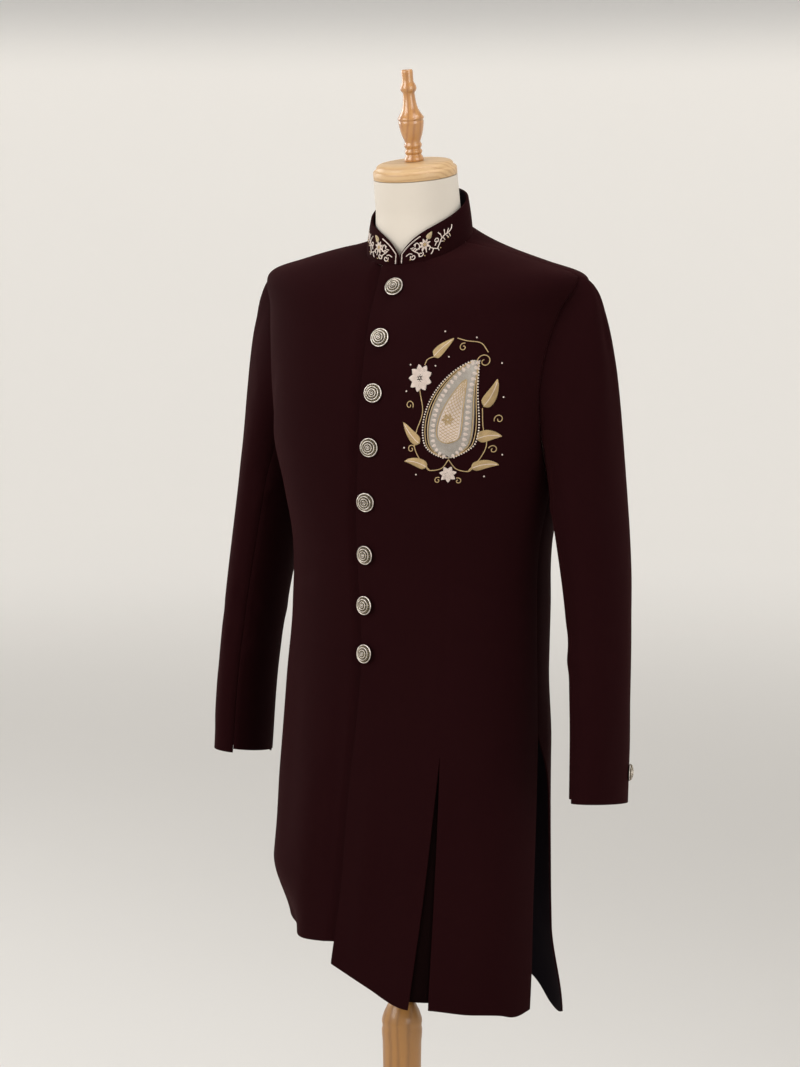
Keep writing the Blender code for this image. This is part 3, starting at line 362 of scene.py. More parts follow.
BASE_TURNING = (("radius", "height"), (
    (0.2050, 0.0000), (0.2078, 0.0004), (0.2098, 0.0024), (0.2100, 0.0050), (0.2100, 0.0140), (0.2094, 0.0160),
    (0.2078, 0.0178), (0.2055, 0.0188), (0.2035, 0.0192), (0.2026, 0.0200), (0.2015, 0.0212), (0.1985, 0.0222),
    (0.1800, 0.0232), (0.1200, 0.0246), (0.0600, 0.0259)))

# Lamps: to the right of the view's line, towards the camera from the stand, height, size and power
LAMPS = (("name", "sideways", "towards", "height", "size", "power"), (
    ("key_lamp", -2.6, 1.5, 2.5, 1.8, 68.0),
    ("fill_lamp", 2.2, 2.8, 2.0, 2.0, 52.0),
    ("top_lamp", 0.5, 0.3, 3.6, 1.6, 38.0),
    ("rim_lamp", -2.4, -1.8, 2.2, 1.4, 36.0)))
WORLD_STRENGTH = 0.30
WALL_GLOW = 0.56


def curve(table, name, at):
    """A smooth curve through one named column of a table, read against its first column."""
    columns, rows = table
    x = np.array([row[0] for row in rows])
    y = np.array([row[columns.index(name)] for row in rows])
    slope = np.gradient(y, x)
    at = np.clip(np.asarray(at, float), x[0], x[-1])
    i = np.clip(np.searchsorted(x, at, side="right") - 1, 0, len(x) - 2)
    width = x[i + 1] - x[i]
    t = (at - x[i]) / width
    start = (2 * t**3 - 3 * t**2 + 1) * y[i] + (t**3 - 2 * t**2 + t) * width * slope[i]
    return start + (3 * t**2 - 2 * t**3) * y[i + 1] + (t**3 - t**2) * width * slope[i + 1]


def ease(t):
    """0 below 0, 1 above 1 and a smooth step between."""
    t = np.clip(t, 0, 1)
    return t * t * (3 - 2 * t)


def unit(vectors):
    return vectors / np.linalg.norm(vectors, axis=-1, keepdims=True)


def skirt_swing(theta, level):
    """How far the skirt's corners stand off the plain section: the left back corner
    flares out at its slit, and the right front corner curls in."""
    out = CORNER_FLARE * ease((0.595 - level) / 0.115) + SLIT_STAND * ease((0.930 - level) / 0.100)
    flare = out * ease((theta - 92) / 12) * ease((150 - theta) / 40)
    curl = CORNER_CURL * ease((0.672 - level) / 0.095) * ease((-theta - 28) / 32) * ease((theta + 125) / 20)
    return flare - curl


def body_surface(theta, level):
    """Points of the body surface. theta is in degrees from the front, positive to the left."""
    theta = np.asarray(theta, float)
    level = np.asarray(level, float)
    theta, level = np.broadcast_arrays(theta, level)
    size = {name: curve(BODY, name, level) for name in BODY[0][1:]}
    across = np.sin(np.radians(theta))
    ahead = np.cos(np.radians(theta))
    depth = np.where(ahead > 0, size["front"], size["back"])
    square = size["square"]
    reach = ((np.abs(across) / size["half_width"]) ** square + (np.abs(ahead) / depth) ** square) ** (-1 / square)
    turned = (theta + 180) % 360 - 180
    reach = reach + skirt_swing(turned, level)
    z_end = np.where(ahead > 0, size["z_front"], size["z_back"])
    z = size["z_side"] + (z_end - size["z_side"]) * np.abs(ahead) ** size["tilt"]
    return np.stack((reach * across, size["centre_y"] - reach * ahead, z), axis=-1)


def body_normal(theta, level):
    theta = np.asarray(theta, float)
    level = np.asarray(level, float)
    across = body_surface(theta + 0.3, level) - body_surface(theta - 0.3, level)
    upward = body_surface(theta, level + 0.0006) - body_surface(theta, level - 0.0006)
    return unit(np.cross(across, upward))


def theta_at(x, level):
    """The angle of the point on the front that lies x from the centre line."""
    half_width = curve(BODY, "half_width", level)
    front = curve(BODY, "front", level)
    square = curve(BODY, "square", level)
    reach = np.clip(np.abs(x) / half_width, 0, 0.999)
    depth = front * (1 - reach**square) ** (1 / square)
    return np.degrees(np.arctan2(x, depth))


def seam_angle(level):
    """Half the seam's clearance, as an angle at the side of the section."""
    return np.degrees(0.5 * SHOWN_SEAM / curve(BODY, "half_width", level)) * 1.3


def side_seam(level):
    """The side seam's angle: it drifts back on its way down to the slit."""
    return 90.0 + SEAM_DRIFT * ease((1.050 - level) / 0.200)


def armhole_share(level):
    return np.clip((level - UNDERARM) / (SHOULDER_TIP - UNDERARM), 0, 1)


def front_side_edge(level):
    """The left front's outer edge: slit, side seam, armhole, then shoulder seam."""
    bulge = ARMHOLE_FRONT * np.sin(np.pi * armhole_share(level)) ** ARMHOLE_ROUND
    slit = np.where(level < SLIT_TOP, curve(SLIT, "front_edge", level), side_seam(level))
    return slit - bulge - seam_angle(level)


def back_side_edge(level):
    bulge = ARMHOLE_BACK * np.sin(np.pi * armhole_share(level)) ** ARMHOLE_ROUND
    slit = np.where(level < SLIT_TOP, curve(SLIT, "back_edge", level), side_seam(level))
    return slit + bulge + seam_angle(level)


def lap_edge(level):
    return theta_at(curve(LAP_EDGE, "x", level), level)


def pleat_line(level, side):
    """One side of the pleat. Above its top both sides run together up the dart line."""
    below = curve(PLEAT, side, level)
    above = curve(DART, "x", level)
    return theta_at(np.where(level < PLEAT_TOP, below, above), level)


def armhole_loop(turn):
    """The armhole seam as a loop. turn is 0 at the underarm, 90 ahead, 180 on the shoulder."""
    turn = np.asarray(turn, float) % 360
    share = 0.5 - 0.5 * np.cos(np.radians(turn))
    level = UNDERARM + (SHOULDER_TIP - UNDERARM) * share
    bulge = np.sin(np.pi * share) ** ARMHOLE_ROUND
    theta = np.where(turn <= 180, 90 - ARMHOLE_FRONT * bulge, 90 + ARMHOLE_BACK * bulge)
    return body_surface(theta, level)


def sleeve_section(turn, level):
    turn = np.radians(turn)
    x = curve(SLEEVE, "centre_x", level) - curve(SLEEVE, "half_x", level) * np.cos(turn)
    y = curve(SLEEVE, "centre_y", level) - curve(SLEEVE, "half_y", level) * np.sin(turn)
    return np.stack((x, y, level + 0 * x), axis=-1)


def cuff_level(turn, cuff):
    """The height of a cuff's rim, which hangs lower behind than in front."""
    return cuff - CUFF_DROP * (0.5 - 0.5 * np.cos(np.radians(turn - CUFF_FRONT)))


def sleeve_surface(turn, along, cuff):
    """Points of the left sleeve: along is 0 at the armhole, 1 at the bicep and 2 at the cuff."""
    turn, along = np.broadcast_arrays(np.asarray(turn, float), np.asarray(along, float))
    head = np.clip(along, 0, 1)[..., None]
    start = armhole_loop(turn)
    end = sleeve_section(turn, BICEP + 0 * turn)
    length = np.linalg.norm(end - start, axis=-1, keepdims=True)
    high = 0.5 - 0.5 * np.cos(np.radians(turn))
    outward = unit(np.stack((0.30 + 0.70 * high, 0 * high, -1.0 + 1.12 * high), axis=-1))
    down = unit(sleeve_section(turn, BICEP - 0.02 + 0 * turn) - end)
    start = start + SHOWN_SEAM * 1.5 * outward
    swell = (0.25 + 0.25 * high)[..., None] * length
    cap = (2 * head**3 - 3 * head**2 + 1) * start + (head**3 - 2 * head**2 + head) * swell * outward
    cap = cap + (3 * head**2 - 2 * head**3) * end + (head**3 - head**2) * 0.9 * length * down
    lower = sleeve_section(turn, BICEP + (cuff_level(turn, cuff) - BICEP) * np.clip(along - 1, 0, 1))
    return np.where((along < 1)[..., None], cap, lower)


def sleeve_normal(turn, along, cuff):
    turn, along = np.broadcast_arrays(np.asarray(turn, float), np.asarray(along, float))
    around = sleeve_surface(turn + 1.0, along, cuff) - sleeve_surface(turn - 1.0, along, cuff)
    ahead = np.minimum(along + 0.01, 2.0)
    behind = np.maximum(along - 0.01, 0.0)
    lengthwise = sleeve_surface(turn, ahead, cuff) - sleeve_surface(turn, behind, cuff)
    return unit(np.cross(lengthwise, around))


def collar_surface(theta, share):
    """Points of the stand collar: share is 0 on the neckline and 1 along its top edge."""
    theta, share = np.broadcast_arrays(np.asarray(theta, float), np.asarray(share, float))
    base = body_surface(theta, NECKLINE + 0 * theta)
    meet = theta_at(COLLAR_MEET_X, NECKLINE)
    from_end = np.minimum(theta - meet, meet + 360 - theta)
    distance = np.radians(from_end) * curve(BODY, "front", NECKLINE)
    height = COLLAR_END_HEIGHT + COLLAR_RISE * (1 - np.exp(-distance / COLLAR_CORNER))
    radial = np.stack((np.sin(np.radians(theta)), -np.cos(np.radians(theta)), 0 * theta), axis=-1)
    rise = (height * share)[..., None]
    return base + (COLLAR_SEAT + rise) * np.array((0, 0, 1)) - COLLAR_TAPER * rise * radial


def collar_normal(theta, share):
    around = collar_surface(theta + 0.5, share) - collar_surface(theta - 0.5, share)
    theta_b, share_b = np.broadcast_arrays(np.asarray(theta, float), np.asarray(share, float))
    upward = collar_surface(theta_b, share_b + 0.05) - collar_surface(theta_b, share_b - 0.05)
    return unit(np.cross(around, upward))


def on_chest(u, v, lift):
    """Points over the left front, u across and v up from the centre of the chest work."""
    level = CHEST_CENTRE[1] + np.asarray(v, float)
    middle = theta_at(CHEST_CENTRE[0], CHEST_CENTRE[1])
    radius = np.linalg.norm(body_surface(middle, CHEST_CENTRE[1])[:2] - (0, BODY_CENTRE_Y))
    theta = middle + np.degrees(np.asarray(u, float) / radius)
    return body_surface(theta, level) + np.asarray(lift)[..., None] * body_normal(theta, level)


def on_collar(distance, height, lift):
    """Points over the collar's left half, placed by the distance from its end and height."""
    theta = theta_at(COLLAR_MEET_X, NECKLINE) + np.degrees(distance / curve(BODY, "front", NECKLINE))
    full = COLLAR_END_HEIGHT + COLLAR_RISE * (1 - np.exp(-distance / COLLAR_CORNER))
    share = height / full
    return collar_surface(theta, share) + np.asarray(lift)[..., None] * collar_normal(theta, share)


def form_inset(theta, level):
    """How far the form lies inside the body surface: close under the shoulders, where the
    coat rests, and freer below and behind the lapped fronts."""
    shoulder = ease((level - 1.30) / 0.08)
    waist = 0.012 - (0.012 - CLOTH - SHOULDER_EASE) * shoulder
    tip = ease((np.abs(np.sin(np.radians(theta))) - 0.86) / 0.1) * ease(1.6 - np.abs(level - SHOULDER_TIP) / 0.02)
    waist = waist + TIP_EASE * tip
    lapped = 2 * (CLOTH + LAP_EASE) + 3 * SEAM
    front = ease((np.cos(np.radians(theta)) - 0.70) / 0.12)
    return np.maximum(waist, lapped * front)
def neck_frame():
    """The neck's axis: a point at its top and its leaning direction."""
    axis = np.array((0.0, -math.sin(NECK_LEAN), math.cos(NECK_LEAN)))
    foot = np.array((0.0, NECK_FOOT_Y, 1.470))
    top = foot + axis * (NECK_TOP - foot[2]) / axis[2]
    return top, axis


def folds(table, angle, height, reach):
    """How far a table's folds stand out at each place. reach turns an angle into a distance."""
    total = 0.0 * angle
    for angle_a, up_a, angle_b, up_b, width, depth in table[1]:
        across = np.radians((angle - angle_a + 180) % 360 - 180) * reach
        upward = height - up_a
        run = np.array((math.radians(angle_b - angle_a) * reach, up_b - up_a))
        share = np.clip((across * run[0] + upward * run[1]) / (run @ run), 0, 1)
        gap = np.hypot(across - share * run[0], upward - share * run[1])
        total = total + depth * np.exp(-(gap / width) ** 2) * ease(share / 0.3) * ease((1 - share) / 0.3)
    return total


def drape(theta, level):
    """The body cloth's folds, let out below the chest and held flat where the coat sits on the form."""
    sway = 0.0011 * np.sin(np.radians(theta) * 7 + 1.3 * np.sin(level * 9)) * ease((0.80 - level) / 0.25)
    hold = 1 - 0.75 * ease((level - 1.30) / 0.05)
    return (folds(BODY_FOLDS, theta, level, 0.16) + sway) * hold


def row_levels(lowest):
    """Levels of a panel's rows from its own hem to the neckline, shared from the pleat's top upwards."""
    lowest = np.asarray(lowest, float)
    skirt = lowest + (PLEAT_TOP - lowest) * np.linspace(0, 1, SKIRT_ROWS + 1)[:-1, None]
    waist = np.linspace(PLEAT_TOP, UNDERARM, WAIST_ROWS + 1)[:-1]
    share = 0.5 - 0.5 * np.cos(np.pi * np.linspace(0, 1, ARMHOLE_ROWS + 1))
    arm = UNDERARM + (SHOULDER_TIP - UNDERARM) * share[:-1]
    shoulder = np.linspace(SHOULDER_TIP, NECKLINE, SHOULDER_ROWS + 1)
    shared = np.concatenate((waist, arm, shoulder))[:, None] + 0 * lowest
    return np.concatenate((skirt, shared))


def seam_dip(theta, level, edge):
    """The soft valley where a panel turns into its seam."""
    distance = np.radians(np.abs(theta - edge)) * curve(BODY, "half_width", level)
    return SEAM_DIP * np.exp(-(distance / SEAM_DIP_WIDTH) ** 2)


def panel(edges, counts, hem, seams=(), sink=None):
    """Points of a panel whose columns run evenly from each edge to the next."""
    def angles(level):
        stretches = [edges[0](level)]
        for start, end, count in zip(edges, edges[1:], counts):
            for strip in range(1, count + 1):
                stretches.append(start(level) * (1 - strip / count) + end(level) * strip / count)
        return np.stack(stretches, axis=-1)
    lowest = curve(hem, "z", body_surface(angles(np.array(0.54)), 0.54)[:, 0])
    level = row_levels(lowest)
    theta = np.stack([angles(level[:, i])[:, i] for i in range(level.shape[1])], axis=-1)
    outward = drape(theta, level)
    for seam in seams:
        outward = outward - seam_dip(theta, level, seam(level)) * ease((level - SLIT_TOP) / 0.02)
    if sink is not None:
        outward = outward - sink(theta, level)
    return body_surface(theta, level) + outward[..., None] * body_normal(theta, level)


def lay_grid(bm, points):
    """Lay a grid of faces over rows of points, with UVs in metres measured along the cloth."""
    rows, columns = points.shape[:2]
    step = np.linalg.norm(np.diff(points, axis=1), axis=-1)
    across = np.concatenate((np.zeros((rows, 1)), np.cumsum(step, axis=1)), axis=1)
    across = across - across[:, columns // 2:columns // 2 + 1]
    step = np.linalg.norm(np.diff(points, axis=0), axis=-1)
    upward = np.concatenate((np.zeros((1, columns)), np.cumsum(step, axis=0)), axis=0)
    made = bmesh.ops.create_grid(bm, x_segments=columns - 1, y_segments=rows - 1, size=0.5)
    layer = bm.loops.layers.uv.verify()
    for vert in made["verts"]:
        i = round((vert.co.x + 0.5) * (columns - 1))
        j = round((vert.co.y + 0.5) * (rows - 1))
        vert.co = points[j, i]
        place = (across[j, i], upward[j, i])
        for loop in vert.link_loops:
            loop[layer].uv = place


def finish_piece(name, bm, finishes, replaced=(), merge=0.00002):
    """Make a mesh an object that rides on the part, wears its finishes and stands for its solids."""
    if merge:
        bmesh.ops.remove_doubles(bm, verts=bm.verts, dist=merge)
    mesh = bpy.data.meshes.new(name)
    bm.to_mesh(mesh)
    bm.free()
    mesh.shade_smooth()
    thing = bpy.data.objects.new(name, mesh)
    bpy.context.scene.collection.objects.link(thing)
    for finish in finishes:
        mesh.materials.append(finish)
    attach(thing, "root")
    if replaced:
        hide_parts(*replaced)
    return thing


def cloth_shell(name, sheets, node, thickness=CLOTH, face="wine_suiting"):
    """A shell of cloth on its outer points, with a darker underside and softly rounded edges."""
    bm = bmesh.new()
    for points in sheets:
        lay_grid(bm, points)
    finishes = (MATERIALS[face], MATERIALS["wine_inside"])
    thing = finish_piece(name, bm, finishes, (node,))
    wall = thing.modifiers.new("wall", "SOLIDIFY")
    wall.thickness = thickness
    wall.offset = -1.0
    wall.material_offset = 1
    wall.material_offset_rim = 0
    edge = thing.modifiers.new("edge", "BEVEL")
    edge.width = EDGE_ROUND
    edge.segments = 2
    edge.limit_method = "ANGLE"
    edge.angle_limit = math.radians(60)
    edge.use_clamp_overlap = False
    edge.miter_outer = "MITER_ARC"
    weighted = thing.modifiers.new("even_shading", "WEIGHTED_NORMAL")
    weighted.keep_sharp = False
    return thing


def front_left():
    pleat_front = lambda level: pleat_line(level, "x_front")
    pleat_back = lambda level: pleat_line(level, "x_back")
    seams = (pleat_front, front_side_edge)
    ahead = panel((lap_edge, pleat_front), (26,), LEFT_HEM, seams)
    beside = panel((pleat_back, front_side_edge), (30,), LEFT_HEM, seams)
    return cloth_shell("coat_front_left", (ahead, beside), "front_left")


def under_lap(theta, level):
    """The right front sinks under the left front from just outside the lap edge."""
    reach = np.radians(theta - lap_edge(level)) * curve(BODY, "front", level)
    return (CLOTH + LAP_EASE) * ease((reach + LAP_STEP_START) / (LAP_STEP_START - LAP_STEP_END))


def beside_lap(level, distance):
    """The angle that lies a distance outside the left front's lap edge."""
    return lap_edge(level) - np.degrees(distance / curve(BODY, "front", level))


def front_right():
    underlap = lambda level: theta_at(np.minimum(UNDERLAP_X, 0.8 * curve(BODY, "half_width", level)), level)
    side = lambda level: -front_side_edge(level)
    edges = (side, lambda level: beside_lap(level, LAP_STEP_START), lambda level: beside_lap(level, LAP_STEP_END), underlap)
    sheet = panel(edges, (38, 6, 9), RIGHT_HEM, (side,), under_lap)
    return cloth_shell("coat_front_right", (sheet,), "front_right")


def pleat_underlay():
    """The strip behind the open pleat, hung from just above the pleat's top. Its cloth is darkened as painted shade of
    the deep pleat.
    """
    level = np.linspace(0.532, PLEAT_TOP + 0.018, 60)[:, None]
    middle = 0.5 * (curve(PLEAT, "x_front", level) + curve(PLEAT, "x_back", level))
    theta = theta_at(middle + np.linspace(-0.026, 0.026, 15), level)
    level = level + 0 * theta
    fold = 0.0010 * np.cos(np.linspace(-math.pi, math.pi, 15)) * ease((0.80 - level) / 0.2) - 0.0010
    outward = drape(theta, level) + fold - (CLOTH + LAP_EASE)
    points = body_surface(theta, level) + outward[..., None] * body_normal(theta, level)
    return cloth_shell("coat_pleat_underlay", (points,), "pleat_underlay_left", face="wine_painted_shade")


def backs():
    centre = lambda level: 180 - np.degrees(0.5 * SHOWN_SEAM / curve(BODY, "back", level)) * 1.3
    left = panel((back_side_edge, centre), (46,), BACK_HEM, (back_side_edge, centre))
    other_centre = lambda level: -centre(level)
    side = lambda level: -back_side_edge(level)
    right = panel((other_centre, side), (46,), BACK_HEM, (other_centre, side))
    return (cloth_shell("coat_back_left", (left,), "back_left"), cloth_shell("coat_back_right", (right,), "back_right"))


def sleeve_shell(side, part, first, last, columns, cuff):
    """One piece of a sleeve, from its two seams and its length. The right sleeve mirrors the left."""
    turn = np.linspace(first, last, columns)
    turn[0] += SLEEVE_SEAM_CLEAR
    turn[-1] -= SLEEVE_SEAM_CLEAR
    head = np.linspace(0, 1, SLEEVE_HEAD_ROWS + 1) ** 1.15
    along = np.concatenate((head, np.linspace(1, 2, SLEEVE_ROWS + 1)[1:]))[::-1, None]
    turn, along = np.broadcast_arrays(turn, along)
    down = SLEEVE_HEAD_LENGTH * np.minimum(along, 1) + SLEEVE_LENGTH * np.maximum(along - 1, 0)
    outward = folds(SLEEVE_FOLDS, turn, down, SLEEVE_REACH)
    for seam in (FORE_SEAM, ELBOW_SEAM - 360 if first < 0 else ELBOW_SEAM):
        distance = np.radians(np.abs(turn - seam)) * SLEEVE_REACH
        outward = outward - SEAM_DIP * np.exp(-(distance / SEAM_DIP_WIDTH) ** 2)
    points = sleeve_surface(turn, along, cuff) + outward[..., None] * sleeve_normal(turn, along, cuff)
    points[-1] += SEAM_TUCK * unit(points[-1] - points[-2])
    name = f"coat_sleeve_{side}_{part}"
    if side == "right":
        points = points[:, ::-1] * np.array((-1, 1, 1))
    return cloth_shell(name, (points,), f"sleeve_{side}_{part}")


def sleeves():
    shells = []
    for side in ("left", "right"):
        shells.append(sleeve_shell(side, "top", FORE_SEAM, ELBOW_SEAM, 76, CUFF_TOP_PIECE))
        shells.append(sleeve_shell(side, "under", ELBOW_SEAM - 360, FORE_SEAM, 40, CUFF_UNDER_PIECE))
    return shells


def collar():
    """The stand collar, a little rolled along its top edge, with a row of fine columns at each end."""
    meet = float(theta_at(COLLAR_MEET_X, NECKLINE))
    clear = 0.35
    near_end = 30 * np.linspace(0, 1, 26)[:-1] ** 1.6
    turns = np.concatenate((near_end, np.linspace(30, 330, 130), 360 - near_end[::-1]))
    turns = turns * (360 - 2 * clear) / 360 + meet + clear
    share = np.linspace(0, 1, 15)[:, None]
    crown = 0.0005 * np.sin(np.pi * share) + 0 * turns
    points = collar_surface(turns, share) + crown[..., None] * collar_normal(turns, share)
    points[..., 2] -= (COLLAR_SEAT + SEAM_TUCK) * (1 - ease(share / 0.10))
    return cloth_shell("coat_collar", (points,), "collar", COLLAR_CLOTH)


def smooth_path(points, count):
    """A smooth line through a few points, as count points evenly spread over its stretches."""
    points = np.asarray(points, float)
    place = np.linspace(0, len(points) - 1, count)
    table = (("at",) + tuple(f"c{i}" for i in range(points.shape[1])), [(i, *p) for i, p in enumerate(points)])
    return np.stack([curve(table, f"c{i}", place) for i in range(points.shape[1])], axis=-1)


def curl_path(centre, start_radius, end_radius, start_turn, sweep, count=18):
    """A spiral that winds in towards its centre."""
    share = np.linspace(0, 1, count)
    radius = start_radius + (end_radius - start_radius) * share
    turn = np.radians(start_turn + sweep * share)
    return np.stack((centre[0] + radius * np.cos(turn), centre[1] + radius * np.sin(turn)), axis=-1)


def strands(name, lines, radius, finish, replaced=(), sides=6):
    """Round threads along many lines of points, joined in one piece."""
    data = bpy.data.curves.new(name, "CURVE")
    data.dimensions = "3D"
    data.bevel_depth = radius
    data.bevel_resolution = (sides - 4) // 2
    data.use_fill_caps = True
    for line in lines:
        spline = data.splines.new("POLY")
        spline.points.add(len(line) - 1)
        spline.points.foreach_set("co", np.column_stack((line, np.ones(len(line)))).ravel())
    thing = bpy.data.objects.new(name + "_line", data)
    bpy.context.scene.collection.objects.link(thing)
    mesh = bpy.data.meshes.new_from_object(thing.evaluated_get(bpy.context.evaluated_depsgraph_get()))
    bpy.data.objects.remove(thing)
    bm = bmesh.new()
    bm.from_mesh(mesh)
    bpy.data.meshes.remove(mesh)
    bmesh.ops.recalc_face_normals(bm, faces=bm.faces)
    return finish_piece(name, bm, (finish,), replaced, 0)


def beads(name, centres, radius, finish, replaced=()):
    """Small round beads at many places, joined in one piece."""
    bm = bmesh.new()
    for centre in centres:
        bmesh.ops.create_icosphere(bm, subdivisions=2, radius=radius, matrix=Matrix.Translation(centre))
    return finish_piece(name, bm, (finish,), replaced, 0)


def along_path(path, pitch):
    """Places spread evenly by distance along a path of u and v."""
    step = np.linalg.norm(np.diff(path, axis=0), axis=-1)
    run = np.concatenate(((0,), np.cumsum(step)))
    at = np.linspace(0, run[-1], max(2, round(run[-1] / pitch) + 1))
    return np.stack([np.interp(at, run, path[:, i]) for i in range(2)], axis=-1)


def over(surface, path, lift):
    """Points over a surface along a path of u and v."""
    path = np.asarray(path, float)
    return surface(path[:, 0], path[:, 1], lift + 0 * path[:, 0])


def leaf_place(shape, t, share):
    """Points of a leaf: t runs from foot to tip and share from one side to the other."""
    foot, middle, tip, half_width = shape
    foot, middle, tip = (np.array(point) for point in (foot, middle, tip))
    t, share = np.broadcast_arrays(np.asarray(t, float), np.asarray(share, float))
    t = np.clip(t, 0, 1)[..., None]
    spine = (1 - t) ** 2 * foot + 2 * t * (1 - t) * middle + t**2 * tip
    along = unit(2 * (1 - t) * (middle - foot) + 2 * t * (tip - middle))
    width = half_width * (np.sin(np.pi * np.clip(0.06 + 0.93 * t, 0, 1) ** 0.62) ** 0.8 + 0.04)
    width = width * np.sqrt(1 - (1 - np.clip(t / LEAF_FOOT, 0, 1)) ** 2)
    side = np.stack((-along[..., 1], along[..., 0]), axis=-1)
    return spine + share[..., None] * width * side


def leaf_outline(shape, inside=1.0, count=40):
    """A leaf's outline as one closed path, from its foot up one side and down the other."""
    t = np.linspace(0.0, 1.0, count)
    return np.concatenate((leaf_place(shape, t, -inside + 0 * t), leaf_place(shape, t[::-1], inside + 0 * t)[1:]))


def satin(surface, shape, pitch, slant, relief, span=(0.02, 0.98), reach=1.0, base=0.0003):
    """Threads laid side by side across a leaf, slanting, over a padded middle."""
    foot, middle, tip, half_width = shape
    length = np.linalg.norm(np.subtract(middle, foot)) + np.linalg.norm(np.subtract(tip, middle))
    share = np.linspace(-1, 1, 9)
    lines = []
    for at in np.linspace(span[0], span[1], max(3, round(length * (span[1] - span[0]) / pitch))):
        place = leaf_place(shape, at + slant * share, share * reach)
        lift = base + relief * (1 - share**2) ** 0.6
        lines.append(surface(place[:, 0], place[:, 1], lift))
    return lines


def petal(centre, turn, inner, outer, half_width):
    """A petal's leaf shape about a flower's centre."""
    way = np.array((math.cos(turn), math.sin(turn)))
    centre = np.array(centre)
    return (tuple(centre + inner * way), tuple(centre + 0.55 * (inner + outer) * way),
            tuple(centre + outer * way), half_width)


def padding(name, surface, shapes, relief, finish, replaced=(), reach=0.97):
    """The raised pads under satin stitches, each a low closed cushion on its leaf's shape."""
    bm = bmesh.new()
    for shape in shapes:
        t = np.linspace(0.015, 0.985, 26)[:, None]
        share = np.linspace(-1, 1, 11)
        place = leaf_place(shape, t, share * reach)
        lift = 0.0002 + relief * (1 - share**2) ** 0.6 * ease(t / 0.08) * ease((1 - t) / 0.06)
        points = surface(place[..., 0], place[..., 1], lift + 0 * t)
        lay_grid(bm, points[:, ::-1])
    thing = finish_piece(name, bm, (finish,), replaced)
    wall = thing.modifiers.new("wall", "SOLIDIFY")
    wall.thickness = 0.00015
    wall.offset = -1.0
    return thing


